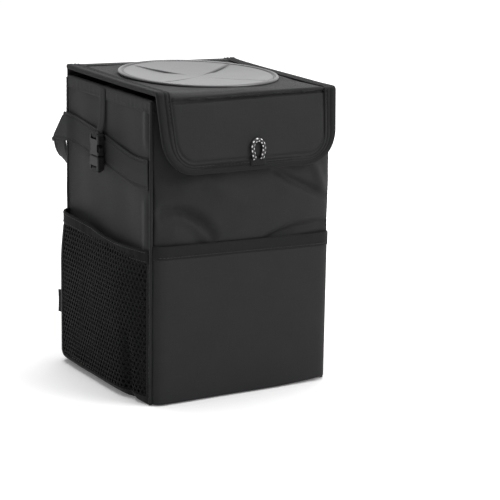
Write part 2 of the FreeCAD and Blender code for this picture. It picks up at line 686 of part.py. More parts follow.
class Buckle:
    """Sizes that a socket, its plug and the tapes on their bars share."""

    def __init__(self, prefix, web, strap):
        self.width = S[prefix + "_width"]
        self.socket = S[prefix + "_socket"]
        self.plug = S[prefix + "_plug"]
        self.thick = S[prefix + "_thick"]
        self.bar = S[prefix + "_bar"]
        self.web = web
        self.wall = S["moulding_wall"]
        self.free = S["fit_gap"]
        self.ring_in = self.bar * sqrt(0.5) + self.free
        self.ring_out = self.ring_in + strap
        self.notch_low = self.socket * 0.2
        self.notch_high = self.socket * 0.56
        self.notch_in = self.width * 0.36
        self.cavity = self.width / 2 - self.wall
        self.core = self.thick / 2 - self.wall

    def bar_end(self, body, length, sign):
        """Opens the slot behind the bar and thins the bar from both faces."""
        slot_half = self.web / 2 + self.free
        far = (length - self.bar / 2 - self.ring_out - self.free) * sign
        near = (length - self.bar) * sign
        end = (length + self.bar) * sign
        cut(body, "XY_Plane", rect(-slot_half, slot_half, far, near), self.thick * 2)
        for face in (1, -1):
            sketch = new_sketch(body, "XY_Plane", self.bar / 2 * face)
            outline(sketch, rect(-slot_half, slot_half, far, end))
            extrude(body, "Pocket", sketch, self.thick, False, face > 0)

    def make_socket(self, label):
        body = new_body(label)
        half, low = self.width / 2, self.free / 2
        corner = self.width * 0.14
        pad(body, "XY_Plane", 0, rounded(-half, half, low, self.socket, corner), self.thick, True)
        flat = self.thick.value / 2 - 0.001
        soften(body, self.wall * 0.7, lambda b: b.ZLength < 0.001 and abs(b.ZMin) > flat)
        for side in (-1, 1):
            notch = [(self.notch_in * side, self.notch_low), (self.width * side, self.notch_low),
                     (self.width * side, self.notch_high), (self.notch_in * side, self.notch_high)]
            cut(body, "XY_Plane", notch, self.thick * 2)
        deep = self.notch_high + self.free
        cavity = rect(-self.cavity, self.cavity, low - self.wall, deep)
        cut(body, "XY_Plane", cavity, self.core * 2)
        self.bar_end(body, self.socket, 1)
        return body

    def make_plug(self, label):
        body = new_body(label)
        half, low = self.width / 2, self.free / 2
        corner = self.width * 0.14
        pad(body, "XY_Plane", 0, rounded(-half, half, -self.plug, -low, corner), self.thick, True)
        flat = self.thick.value / 2 - 0.001
        soften(body, self.wall * 0.7, lambda b: b.ZLength < 0.001 and abs(b.ZMin) > flat)
        inner = (self.core - self.free) * 2
        guide = self.width * 0.08
        pad(body, "XY_Plane", 0, rect(-guide, guide, -self.wall, self.notch_high - self.free), inner, True)
        low = self.notch_low + self.free
        high = self.notch_high - self.free
        arm_in, arm_out, tip = self.width * 0.2, self.width * 0.31, self.width * 0.24
        for side in (-1, 1):
            prong = [(arm_in * side, -self.wall), (arm_out * side, -self.wall), (arm_out * side, low),
                     (half * side, low), (half * side, (low + high) / 2), (arm_out * side, high),
                     (tip * side, high)]
            pad(body, "XY_Plane", 0, prong, inner, True)
        self.bar_end(body, self.plug, -1)
        return body


clip = Buckle("clip", S["clip_web"], S["clip_tape"])
latch = Buckle("latch", S["strap_width"], S["strap_thick"])
clip_x = half_w + S["clip_off"] + S["clip_thick"] / 2
hem_face = half_w + S["hem_proud"]
tape_top = rim_back - S["rim_drop"] / 2 - S["hem_height"] * 0.2

for name, side in (("left", -1), ("right", 1)):
    turn = FreeCAD.Rotation(V(0, side, 0), V(0, 0, 1), V(side, 0, 0), "ZXY")
    for body in (clip.make_socket(name + "_buckle_socket"), clip.make_plug(name + "_buckle_plug")):
        body.Placement = FreeCAD.Placement(V(0, 0, 0), turn)
        place(body, clip_x * side, S["clip_back"], clip_z)
    near = (clip_x - clip.ring_out) * side
    far = (clip_x - clip.ring_in) * side
    plane = -(S["clip_back"] + S["clip_web"] / 2)
    band = S["clip_tape"]

    upper = new_body(name + "_tape_upper")
    bar_z = clip_z + S["clip_socket"] - S["clip_bar"] / 2
    strip = [(hem_face * side, tape_top), ((hem_face + band) * side, tape_top), (far, bar_z), (near, bar_z)]
    pad(upper, "XZ_Plane", plane, strip, S["clip_web"])
    lower = new_body(name + "_tape_lower")
    base_z = clip_z - S["clip_plug"] + S["clip_bar"] / 2
    sewn = half_w + S["strap_thick"] + gap / 4
    turn_z = base_z + clip.ring_out - band * 0.2
    strip = [(near, base_z), (far, base_z), ((sewn + band) * side, turn_z),
             ((sewn + band) * side, turn_z + S["clip_plug"]), (sewn * side, turn_z + S["clip_plug"]),
             (sewn * side, turn_z)]
    pad(lower, "XZ_Plane", plane, strip, S["clip_web"])
    for body, level in ((upper, bar_z), (lower, base_z)):
        sketch = new_sketch(body, "XZ_Plane", plane)
        circle(sketch, clip_x * side, level, clip.ring_out)
        extrude(body, "Pad", sketch, S["clip_web"])
        sketch = new_sketch(body, "XZ_Plane", 0)
        circle(sketch, clip_x * side, level, clip.ring_in)
        extrude(body, "Pocket", sketch, S["body_depth"], True)

# The strap: sewn across each side, then free behind the back and round the bars of its buckle

strap_low = clip_z - S["strap_front"]
strap_end = strap_low + S["strap_rise"]
latch_y = half_d + S["strap_reach"]
latch_z = strap_end - S["strap_sag"]
latch_x = (latch.socket - latch.plug) / 2
turn = FreeCAD.Rotation(V(0, 0, 1), V(-1, 0, 0), V(0, -1, 0), "ZXY")
for body in (latch.make_socket("strap_buckle_socket"), latch.make_plug("strap_buckle_plug")):
    body.Placement = FreeCAD.Placement(V(0, 0, 0), turn)
    place(body, latch_x, latch_y, latch_z)


def webbing(points, width, thick):
    """A flat band along points, its width kept as upright as the path allows."""
    wires = []
    for i, at in enumerate(points):
        before, after = points[max(i - 1, 0)], points[min(i + 1, len(points) - 1)]
        along = (after - before).normalize()
        wide = (V(0, 0, 1) - along * along.z).normalize() * (width / 2)
        deep = along.cross(wide).normalize() * (thick / 2)
        corners = [at + wide + deep, at + wide - deep, at - wide - deep, at - wide + deep]
        wires.append(Part.makePolygon(corners + corners[:1]))
    return Part.makeLoft(wires, True, True)


def strap_path(side):
    """Middle line of half the strap: sewn along the side, sagging behind the back, round its bar."""
    thick = S["strap_thick"].value
    back = half_d.value
    lie = half_w.value + thick / 2
    lift = half_w.value + S["piping_radius"].value + gap.value / 2 + thick / 2
    rise = S["strap_rise"].value / (2 * back)
    middle = strap_low.value + S["strap_rise"].value / 2
    front = -(half_d - seam).value + rise * S["strap_width"].value / 2
    near = S["piping_radius"].value * 2
    ramp = near + S["strap_ramp"].value
    spots = ((lie, front), (lie, back - ramp), (lift, back - near), (lift, back + near))
    points = [V(x * side, y, middle + rise * y) for x, y in spots]
    start = points[-1]
    length = latch.socket if side < 0 else latch.plug
    bar_x = latch_x.value * side + (length - latch.bar / 2).value
    wrap = latch.ring_in.value + thick / 2
    out = S["strap_reach"].value
    drop = start.z - latch_z.value
    swing = S["strap_swing"].value
    lead = S["strap_lead"].value
    sag = Part.BSplineCurve()
    sag.interpolate([start,
                     V((lift - 0.07 * swing) * side, back + 0.62 * out, start.z - 0.17 * drop),
                     V((lift - 0.36 * swing) * side, back + 1.04 * out, start.z - 0.44 * drop),
                     V((lift - swing) * side, back + 1.2 * out, start.z - 0.76 * drop),
                     V((bar_x + lead) * side, latch_y.value + wrap + 0.6 * thick, start.z - 0.97 * drop),
                     V(bar_x * side, latch_y.value + wrap, latch_z.value)])
    steps = 10
    last = sag.LastParameter
    points += [sag.value(last * k / steps) for k in range(1, steps + 1)]
    for k in range(1, 7):
        turn = pi * k / 6
        points.append(V((bar_x - wrap * sin(turn)) * side, latch_y.value + wrap * cos(turn), latch_z.value))
    tail = latch_y.value + wrap - thick - gap.value
    points.append(V((bar_x + 4 * wrap) * side, tail, latch_z.value))
    points.append(V((bar_x + 7 * wrap) * side, tail + gap.value, start.z - 0.94 * drop))
    return points


for name, side in (("left", -1), ("right", 1)):
    strap = doc.addObject("Part::Feature", name + "_strap")
    strap.Shape = webbing(strap_path(side), S["strap_width"].value, S["strap_thick"].value)
    keep(strap, name + "_strap")

# The blank tab in the back left seam

tab_x = -(half_w + S["tab_thick"] / 2)
tab_y = half_d + S["piping_radius"]
box("side_tab", (tab_x, tab_y, S["tab_low"]),
    (tab_x + S["tab_thick"], tab_y + S["tab_reach"], S["tab_low"] + S["tab_height"]))

# Every piece is tested before any is written

doc.recompute()
for thing in doc.Objects:
    if "Invalid" in thing.State or "Error" in thing.State:
        raise RuntimeError("not computed: %s" % thing.Label)
for piece in pieces:
    if piece.Shape.isNull() or not piece.Shape.isValid() or len(piece.Shape.Solids) != 1:
        raise RuntimeError("not one valid solid: %s" % piece.Label)
    print("%-22s %10.1f mm3" % (piece.Label, piece.Shape.Volume))
os.makedirs("parts", exist_ok=True)
for piece in pieces:
    piece.Shape.exportStep("parts/%s.step" % piece.Label)
print(len(pieces), "pieces written")
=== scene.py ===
# %% [markdown]
# # A soft car litter bin
# The bin is a box of black cloth over stiff boards. It has a hinged lid with a slit rubber cover, a flap
# that hangs over the front, a flat pocket, two net pockets, small side buckles and a strap behind.
# The solids come in first as a fixed frame. Every cloth piece is then made again as a thin worked surface.

# %% Load the frame
import math

import bpy
import numpy as np
from mathutils import Matrix


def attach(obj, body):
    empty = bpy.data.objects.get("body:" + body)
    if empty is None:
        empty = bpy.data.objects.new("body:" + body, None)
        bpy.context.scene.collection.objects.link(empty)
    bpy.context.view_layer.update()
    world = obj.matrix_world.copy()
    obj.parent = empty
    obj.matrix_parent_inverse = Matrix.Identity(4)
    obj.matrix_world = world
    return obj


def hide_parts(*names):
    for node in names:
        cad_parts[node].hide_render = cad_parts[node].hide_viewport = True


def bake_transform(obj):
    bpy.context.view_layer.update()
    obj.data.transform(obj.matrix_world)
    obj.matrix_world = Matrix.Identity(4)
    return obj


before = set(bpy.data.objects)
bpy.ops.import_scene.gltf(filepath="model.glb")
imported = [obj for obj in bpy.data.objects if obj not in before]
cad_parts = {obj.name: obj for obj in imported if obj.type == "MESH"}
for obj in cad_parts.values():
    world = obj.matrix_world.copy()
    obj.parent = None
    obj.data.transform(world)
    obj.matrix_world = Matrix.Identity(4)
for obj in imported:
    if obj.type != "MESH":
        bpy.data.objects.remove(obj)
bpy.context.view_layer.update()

scene = bpy.context.scene
scene.view_settings.view_transform = "Standard"

# %% [markdown]
# ## Camera
# The camera stands where the picture was taken: to the left of the front and a little above the lid.
# It is set from three plain angles and a place, so nothing has to be aimed by hand. A long lens keeps
# the upright edges almost parallel.

# %% Camera
MM = 0.001
CAMERA_SPOT = (-699.83, -1264.96, 445.44)
CAMERA_ANGLES = (30.789, 13.362, 0.98)
FOCAL_PIXELS, FRAME_PIXELS, SENSOR_MM = 1781.16, 500, 36.0


def turned_view(yaw, pitch, roll):
    """Right, up and forward of a camera: yaw turns it from +Y to +X, pitch tips it down, roll leans it."""
    yaw, pitch, roll = np.radians([yaw, pitch, roll])
    ahead = np.array([np.sin(yaw) * np.cos(pitch), np.cos(yaw) * np.cos(pitch), -np.sin(pitch)])
    right = np.array([np.cos(yaw), -np.sin(yaw), 0.0])
    up = np.cross(right, ahead)
    return np.cos(roll) * right + np.sin(roll) * up, np.cos(roll) * up - np.sin(roll) * right, ahead


def pose_matrix(right, up, back, spot):
    """Place of a camera or a lamp: its three directions and its spot as columns."""
    pose = np.eye(4)
    pose[:3] = np.column_stack([right, up, back, spot])
    return Matrix(pose.tolist())


def place_camera(spot, angles, pixels):
    """A camera at a spot in millimetres; its lens is the focal length in pixels over the frame's width."""
    right, up, ahead = turned_view(*angles)
    data = bpy.data.cameras.new("camera")
    data.sensor_width = SENSOR_MM
    data.lens = SENSOR_MM * pixels / FRAME_PIXELS
    data.clip_end = 50.0
    camera = bpy.data.objects.new("camera", data)
    scene.collection.objects.link(camera)
    camera.matrix_world = pose_matrix(right, up, -ahead, np.array(spot) * MM)
    scene.camera = camera
    return camera


camera = place_camera(CAMERA_SPOT, CAMERA_ANGLES, FOCAL_PIXELS)
print("lens", round(camera.data.lens, 1), "mm")

# %% [markdown]
# ## Finishes
# Black goods show by their texture, not by their colour, so each finish has its own weave or grain.
# A pattern that more than one finish uses is a node group. Cloth patterns read the piece's flat map, which
# holds the unrolled cloth in metres, so a thread has its true size and follows every fold.

# %% Node helpers
def link_or_set(tree, socket, value):
    """A socket takes either another node's output or a plain number."""
    if isinstance(value, bpy.types.NodeSocket):
        tree.links.new(value, socket)
    else:
        socket.default_value = value


def calc(tree, operation, *values):
    """One Math node: the operation on its values, which are numbers or outputs."""
    node = tree.nodes.new("ShaderNodeMath")
    node.operation = operation
    for socket, value in zip(node.inputs, values):
        link_or_set(tree, socket, value)
    return node.outputs[0]


def weighed(tree, *shares):
    """Sum of values, each times its own weight."""
    total = 0.0
    for value, weight in shares:
        total = calc(tree, "MULTIPLY_ADD", value, weight, total)
    return total


def noise(tree, vector, scale, detail=2.0, stretch=None):
    """Soft grain between 0 and 1; stretch draws it out along one direction of the cloth."""
    if stretch is not None:
        mapping = tree.nodes.new("ShaderNodeMapping")
        mapping.inputs["Scale"].default_value = stretch
        tree.links.new(vector, mapping.inputs["Vector"])
        vector = mapping.outputs[0]
    node = tree.nodes.new("ShaderNodeTexNoise")
    node.inputs["Scale"].default_value = scale
    node.inputs["Detail"].default_value = detail
    tree.links.new(vector, node.inputs["Vector"])
    return node.outputs["Fac"]


def new_group(name, numbers, results):
    """An empty shader group with a Vector input, named number inputs and value outputs."""
    tree = bpy.data.node_groups.new(name, "ShaderNodeTree")
    tree.interface.new_socket(name="Vector", in_out="INPUT", socket_type="NodeSocketVector")
    for label, value in numbers.items():
        socket = tree.interface.new_socket(name=label, in_out="INPUT", socket_type="NodeSocketFloat")
        socket.default_value = value
    for label in results:
        tree.interface.new_socket(name=label, in_out="OUTPUT", socket_type="NodeSocketFloat")
    return tree, tree.nodes.new("NodeGroupInput"), tree.nodes.new("NodeGroupOutput")


# %% Weave groups
def wave(tree, value, pitch):
    """Sine of a distance with that pitch."""
    return calc(tree, "SINE", calc(tree, "DIVIDE", calc(tree, "MULTIPLY", value, 2 * math.pi), pitch))


def split(tree, vector):
    """The first two parts of a vector."""
    parts = tree.nodes.new("ShaderNodeSeparateXYZ")
    tree.links.new(vector, parts.inputs[0])
    return parts.outputs[0], parts.outputs[1]


def plain_weave():
    """Over and under: the product of a wave along each thread direction, with slubs drawn out along both."""
    tree, start, end = new_group("plain_weave", {"Pitch": 0.0008}, ("Height", "Shade"))
    spot, pitch = start.outputs["Vector"], start.outputs["Pitch"]
    u, v = split(tree, spot)
    both = calc(tree, "MULTIPLY", wave(tree, u, pitch), wave(tree, v, pitch))
    cross = calc(tree, "MULTIPLY_ADD", both, 0.5, 0.5)
    slub_a = noise(tree, spot, 1.0, 1.0, (60.0, 1500.0, 1.0))
    slub_b = noise(tree, spot, 1.0, 1.0, (1500.0, 60.0, 1.0))
    slub = weighed(tree, (slub_a, 0.5), (slub_b, 0.5))
    cloud = noise(tree, spot, 28.0, 2.0)
    tree.links.new(weighed(tree, (cross, 0.7), (slub, 0.6)), end.inputs["Height"])
    tree.links.new(weighed(tree, (cloud, 0.3), (slub, 0.4), (cross, 0.3)), end.inputs["Shade"])
    return tree


def ribbed_band():
    """Ribs across a band: a rounded wave of the length, broken up by single threads along it."""
    tree, start, end = new_group("ribbed_band", {"Pitch": 0.001, "Slant": 0.0}, ("Height", "Shade"))
    u, v = split(tree, start.outputs["Vector"])
    lean = calc(tree, "MULTIPLY", calc(tree, "ABSOLUTE", v), start.outputs["Slant"])
    ribs = calc(tree, "ABSOLUTE", wave(tree, calc(tree, "ADD", u, lean), start.outputs["Pitch"]))
    threads = calc(tree, "ABSOLUTE", wave(tree, v, 0.0012))
    fuzz = noise(tree, start.outputs["Vector"], 900.0, 1.0)
    tree.links.new(weighed(tree, (ribs, 0.6), (fuzz, 0.25), (threads, 0.25)), end.inputs["Height"])
    tree.links.new(weighed(tree, (ribs, 0.6), (fuzz, 0.4)), end.inputs["Shade"])
    return tree


def fine_grain():
    """Moulded or sheet goods: a fine stipple, and slow patches that change the gloss."""
    tree, start, end = new_group("fine_grain", {}, ("Height", "Patch"))
    stipple = noise(tree, start.outputs["Vector"], 1800.0, 2.0)
    patch = noise(tree, start.outputs["Vector"], 45.0, 3.0)
    tree.links.new(weighed(tree, (stipple, 0.7), (patch, 0.3)), end.inputs["Height"])
    tree.links.new(patch, end.inputs["Patch"])
    return tree


WEAVES = {"plain": plain_weave(), "ribbed": ribbed_band(), "grain": fine_grain()}
print("groups", [tree.name for tree in WEAVES.values()])

# %% [markdown]
# A finish is a Principled shader with three things from its group: a colour between two close tones, a
# roughness that shifts a little with the threads, and a bump. Sheen stands for the loose fibres of cloth.

# %% Finishes
def finish(name, weave, dark, light, rough, bump, numbers=None, flat=True, **sockets):
    """A material: two tones mixed by the group's second output, a roughness that it shifts, a bump by height.
    Rough is its least value and its shift, and bump its strength and its height in millimetres."""
    material = bpy.data.materials.new(name)
    material.use_nodes = True
    tree = material.node_tree
    shader = tree.nodes["Principled BSDF"]
    group = tree.nodes.new("ShaderNodeGroup")
    group.node_tree = WEAVES[weave]
    for label, value in (numbers or {}).items():
        group.inputs[label].default_value = value
    if flat:
        spot = tree.nodes.new("ShaderNodeUVMap")
        spot.uv_map = "flat"
        tree.links.new(spot.outputs["UV"], group.inputs["Vector"])
    else:
        spot = tree.nodes.new("ShaderNodeTexCoord")
        tree.links.new(spot.outputs["Object"], group.inputs["Vector"])
    tones = tree.nodes.new("ShaderNodeMix")
    tones.data_type = "RGBA"
    tones.inputs[6].default_value = (*dark, 1.0)
    tones.inputs[7].default_value = (*light, 1.0)
    tree.links.new(group.outputs[1], tones.inputs["Factor"])
    tree.links.new(tones.outputs[2], shader.inputs["Base Color"])
    shifted = calc(tree, "MULTIPLY_ADD", group.outputs[1], rough[1], rough[0])
    tree.links.new(shifted, shader.inputs["Roughness"])
    relief = tree.nodes.new("ShaderNodeBump")
    relief.inputs["Strength"].default_value = bump[0]
    relief.inputs["Distance"].default_value = bump[1] * MM
    tree.links.new(group.outputs["Height"], relief.inputs["Height"])
    tree.links.new(relief.outputs["Normal"], shader.inputs["Normal"])
    for label, value in sockets.items():
        shader.inputs[label.replace("_", " ")].default_value = value
    return material


def grey(tone):
    """A near-neutral tone, very slightly cool."""
    return (tone, tone, tone * 1.03)


CLOTH = finish("oxford_cloth", "plain", grey(0.0135), grey(0.032), (0.48, 0.2), (0.6, 0.25),
               {"Pitch": 0.0009}, Specular_IOR_Level=0.07, Sheen_Weight=0.11, Sheen_Roughness=0.26)
TAPE = finish("binding_tape", "ribbed", grey(0.007), grey(0.018), (0.55, 0.2), (0.7, 0.25),
              {"Pitch": 0.0016}, Specular_IOR_Level=0.08, Sheen_Weight=0.05, Sheen_Roughness=0.35)
ELASTIC = finish("elastic_band", "ribbed", grey(0.005), grey(0.011), (0.62, 0.2), (0.8, 0.35),
                 {"Pitch": 0.0024}, Specular_IOR_Level=0.05, Sheen_Weight=0.02)
WEBBING = finish("webbing", "ribbed", grey(0.012), grey(0.029), (0.5, 0.2), (0.7, 0.3),
                 {"Pitch": 0.0026, "Slant": 0.9}, Specular_IOR_Level=0.05, Sheen_Weight=0.03)
NET = finish("net", "plain", grey(0.0025), grey(0.0055), (0.6, 0.2), (0.5, 0.15), {"Pitch": 0.0006},
             Specular_IOR_Level=0.08, Sheen_Weight=0.0)
THREAD = finish("thread", "ribbed", grey(0.010), grey(0.022), (0.45, 0.2), (0.5, 0.1),
                {"Pitch": 0.0006, "Slant": 1.0}, Specular_IOR_Level=0.3)
RUBBER = finish("cover_rubber", "grain", grey(0.062), grey(0.080), (0.28, 0.12), (0.2, 0.05), flat=False,
                Coat_Weight=0.24, Coat_Roughness=0.2)
PLASTIC = finish("moulded_plastic", "grain", grey(0.008), grey(0.013), (0.36, 0.18), (0.2, 0.05), flat=False,
                 Specular_IOR_Level=0.14)
FILM = finish("liner_film", "grain", grey(0.085), grey(0.12), (0.38, 0.16), (0.4, 0.15), flat=False)
BOARD = finish("stiffener_board", "grain", grey(0.045), grey(0.065), (0.7, 0.15), (0.4, 0.1), flat=False)
FASTENER = finish("hook_and_loop", "plain", grey(0.007), grey(0.018), (0.75, 0.2), (1.0, 0.6),
                  {"Pitch": 0.0014}, Specular_IOR_Level=0.2, Sheen_Weight=0.2)
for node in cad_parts.values():
    node.data.materials.clear()
    node.data.materials.append(BOARD if node.name.endswith("_board") else PLASTIC)
print("finishes", len(bpy.data.materials))

# %% [markdown]
# ## Simple curves
# Every soft surface below is put together from a few plain curves: a ramp that rises and stays, a hump
# round a middle, and a bell that ends at its two feet. Measures are in millimetres.

# %% Simple curves
def together(*parts):
    """Coordinates put side by side as points, each spread to the shape of the others."""
    return np.stack(np.broadcast_arrays(*parts), -1)


def ramp(value, start, end):
    """A straight rise from 0 at the start to 1 at the end, level outside. The start may be the larger one."""
    return np.clip((np.asarray(value, float) - start) / (end - start), 0, 1)


def hump(value, middle, width):
    """A smooth hump: 1 at the middle, about a third one width away, almost nothing two widths away."""
    return np.exp(-((np.asarray(value, float) - middle) / width) ** 2)


def bell(t):
    """A smooth rise from 0 at t = -1 to 1 at t = 0 and back to 0 at t = 1."""
    return np.clip(1 - np.asarray(t, float) ** 2, 0, 1)


def eased(t):
    """A share from 0 to 1 made to start and stop gently."""
    return t ** 2 * (3 - 2 * t)


# %% [markdown]
# ## Pull loop
# A short cord stands on the flap as a handle: both ends are sewn under a tack. Its line is one smooth
# spline through the handle's few route points, and a round skin is then carried along that line. Pale
# reflective flecks run along it in two rows.

# %% Where the flap hangs
FOLD_Y, FOLD_Z, LEAN = -83.5, 247.8, math.radians(7.5)


def hung(x, y, z):
    """Places on the flap, given as if it hung straight down from its fold, then leaned outward."""
    y, z = np.asarray(y, float), np.asarray(z, float)
    return together(x, FOLD_Y + y * np.cos(LEAN) + z * np.sin(LEAN),
                    FOLD_Z - y * np.sin(LEAN) + z * np.cos(LEAN)).astype(float)


# %% Mesh helpers
def quads(spots):
    """Corner numbers of every four neighbours in a grid of numbers."""
    return together(spots[:-1, :-1], spots[1:, :-1], spots[1:, 1:], spots[:-1, 1:]).reshape(-1, 4)


def wrapped(grid):
    """A grid with its first column repeated after the last."""
    return np.concatenate([grid, grid[:, :1]], 1)


def new_piece(name, places, faces, flat, material):
    """A mesh at the origin from places in millimetres; flat holds each face corner's spot on the cloth."""
    mesh = bpy.data.meshes.new(name)
    mesh.from_pydata((np.asarray(places) * MM).tolist(), [], [list(map(int, face)) for face in faces])
    layer = mesh.uv_layers.new(name="flat")
    layer.data.foreach_set("uv", (np.asarray(flat, float) * MM).astype(np.float32).ravel())
    mesh.polygons.foreach_set("use_smooth", np.ones(len(mesh.polygons), bool))
    mesh.materials.append(material)
    piece = bpy.data.objects.new(name, mesh)
    scene.collection.objects.link(piece)
    return piece


def skin(name, places, flat, material, out, closed=False, capped=False):
    """A skin over rows and columns of places. Closed joins the last column to the first, and then flat has
    one column more. Out is a direction, or None for a tube: its faces point away from each row's middle."""
    rows, columns = places.shape[:2]
    spots = np.arange(rows * columns).reshape(rows, columns)
    tags = np.arange(flat.shape[0] * flat.shape[1]).reshape(flat.shape[:2])
    if closed:
        spots = wrapped(spots)
    faces, corners = quads(spots), quads(tags)
    v = places.reshape(-1, 3)
    normals = np.cross(v[faces[:, 2]] - v[faces[:, 0]], v[faces[:, 3]] - v[faces[:, 1]])
    if out is None:
        middle = places.mean(1)
        middle = np.repeat((middle[:-1] + middle[1:]) / 2, columns if closed else columns - 1, axis=0)
        out = v[faces].mean(1) - middle
    turned = (normals * np.asarray(out, float)).sum() < 0
    faces, corners = list(faces), list(corners)
    if capped:
        faces += [spots[0, :columns], spots[-1, :columns][::-1]]
        corners += [tags[0, :columns], tags[-1, :columns][::-1]]
    if turned:
        faces, corners = [f[::-1] for f in faces], [c[::-1] for c in corners]
    return new_piece(name, v, faces, flat.reshape(-1, 2)[np.concatenate(corners)], material)


def thicken(piece, thick):
    """Gives a sheet its thickness in millimetres, inward from the worked face."""
    solid = piece.modifiers.new("thickness", "SOLIDIFY")
    solid.thickness = thick * MM
    solid.offset = -1.0
    solid.use_even_offset = False
    return piece


def settle(piece, body, slot, *nodes):
    """The piece moves with a body and stands for some solids. Its slot is not used."""
    if body:
        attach(piece, body)
    if nodes:
        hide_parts(*nodes)
    print(piece.name, len(piece.data.vertices), "points")
    return piece


# %% Lines
def lengths(line):
    """Running length along a line of points."""
    return np.concatenate([[0.0], np.cumsum(np.linalg.norm(np.diff(line, axis=0), axis=1))])


def at_length(at, run, values):
    """Values given along a line, read between its points at some running lengths."""
    return np.stack([np.interp(at, run, values[:, k]) for k in range(values.shape[1])], -1)


def even(line, step):
    """The same line with its points a step apart, by running length."""
    line = np.asarray(line, float)
    run = lengths(line)
    return at_length(np.linspace(0, run[-1], max(int(round(run[-1] / step)), 2) + 1), run, line)


def unit(vectors):
    """Vectors of length one."""
    return vectors / np.maximum(np.linalg.norm(vectors, axis=-1, keepdims=True), 1e-12)


def tube(name, line, radius, material, count, start):
    """A round skin along a line: at each point a circle square to the line. Flat is length by girth."""
    ahead = unit(np.gradient(line, axis=0))
    side = unit(np.cross(ahead, np.broadcast_to(start, ahead.shape)))
    over = np.cross(side, ahead)
    turn = np.linspace(0, 2 * np.pi, count + 1)
    ring = np.cos(turn[:-1])[None, :, None] * side[:, None] + np.sin(turn[:-1])[None, :, None] * over[:, None]
    radius = np.broadcast_to(radius, len(line))
    flat = together(lengths(line)[:, None], (turn * np.mean(radius))[None])
    return skin(name, line[:, None] + ring * radius[:, None, None], flat, material, None, True, True)


# %% Cord with flecks
def flecked_cord():
    """The cord's finish: a braid, and two rows of pale dots at a set spacing along it."""
    material = finish("loop_cord", "ribbed", grey(0.006), grey(0.014), (0.5, 0.2), (0.7, 0.2),
                      {"Pitch": 0.0016, "Slant": 0.5})
    tree = material.node_tree
    shader = tree.nodes["Principled BSDF"]
    length, girth = split(tree, tree.nodes["UV Map"].outputs["UV"])
    lane = calc(tree, "DIVIDE", girth, 0.0025)
    row = calc(tree, "SUBTRACT", calc(tree, "FRACT", lane), 0.5)
    odd = calc(tree, "MODULO", calc(tree, "FLOOR", lane), 2.0)
    along = calc(tree, "MULTIPLY_ADD", odd, 0.5, calc(tree, "DIVIDE", length, 0.0034))
    step = calc(tree, "SUBTRACT", calc(tree, "FRACT", along), 0.5)
    squares = calc(tree, "ADD", calc(tree, "MULTIPLY", row, row), calc(tree, "MULTIPLY", step, step))
    dots = calc(tree, "LESS_THAN", calc(tree, "SQRT", squares), 0.23)
    paint = tree.nodes.new("ShaderNodeMix")
    paint.data_type = "RGBA"
    tree.links.new(dots, paint.inputs["Factor"])
    tree.links.new(shader.inputs["Base Color"].links[0].from_socket, paint.inputs[6])
    paint.inputs[7].default_value = (0.85, 0.85, 0.85, 1.0)
    tree.links.new(paint.outputs[2], shader.inputs["Base Color"])
    return material


def spline_line(name, route):
    """Points of one smooth spline that starts and ends on the route's ends and is led by the rest."""
    curve = bpy.data.curves.new(name, "CURVE")
    curve.dimensions = "3D"
    spline = curve.splines.new("NURBS")
    spline.points.add(len(route) - 1)
    spline.points.foreach_set("co", np.hstack([route * MM, np.ones((len(route), 1))]).ravel())
    spline.order_u = 3
    spline.use_endpoint_u = True
    guide = bpy.data.objects.new(name, curve)
    mesh = bpy.data.meshes.new_from_object(guide)
    line = np.empty(len(mesh.vertices) * 3)
    mesh.vertices.foreach_get("co", line)
    bpy.data.objects.remove(guide)
    return line.reshape(-1, 3) / MM


LOOP_X, LOOP_FOOT, LOOP_OFF, CORD_RADIUS = 4.2, -55.2, -3.75, 1.6
LOOP_ROUTE = np.array([(-3.3, 0.45), (-4.5, 4.9), (-5.3, 9.7), (-3.6, 14.0), (0.2, 15.9), (3.9, 13.9),
                       (5.4, 9.6), (4.6, 4.8), (3.4, 0.45)])
bent_in = 1.3 * np.exp(-LOOP_ROUTE[:, 1] / 2.0)
line = spline_line("pull_loop_line",
                   hung(LOOP_X + LOOP_ROUTE[:, 0], LOOP_OFF + bent_in, LOOP_FOOT + LOOP_ROUTE[:, 1]))
pull_loop = tube("pull_loop_cord", line, CORD_RADIUS, flecked_cord(), 16, hung(0, -1, 0) - hung(0, 0, 0))
settle(pull_loop, "flap", "loop_cord", "pull_loop")
print("cord length", round(float(lengths(line)[-1]), 1), "mm")

# %% [markdown]
# ## Studio
# A pale floor and an even white room light the black cloth softly. A wide lamp overhead makes the lid
# brighter than the walls, and a second one fills the front. The world is full white only to the camera and
# to reflections.

# %% Floor, lamps and world
FLOOR_HALF, FLOOR_Z = 6.0, -0.0004
ROOM_LIGHT, ROOM_SEEN = 0.30, 0.70


def looked_at(tree):
    """One for the camera and for mirrored or passing rays, nothing for the rays that light things."""
    path = tree.nodes.new("ShaderNodeLightPath")
    return calc(tree, "MAXIMUM", path.outputs["Is Camera Ray"],
                calc(tree, "MAXIMUM", path.outputs["Is Glossy Ray"], path.outputs["Is Transmission Ray"]))


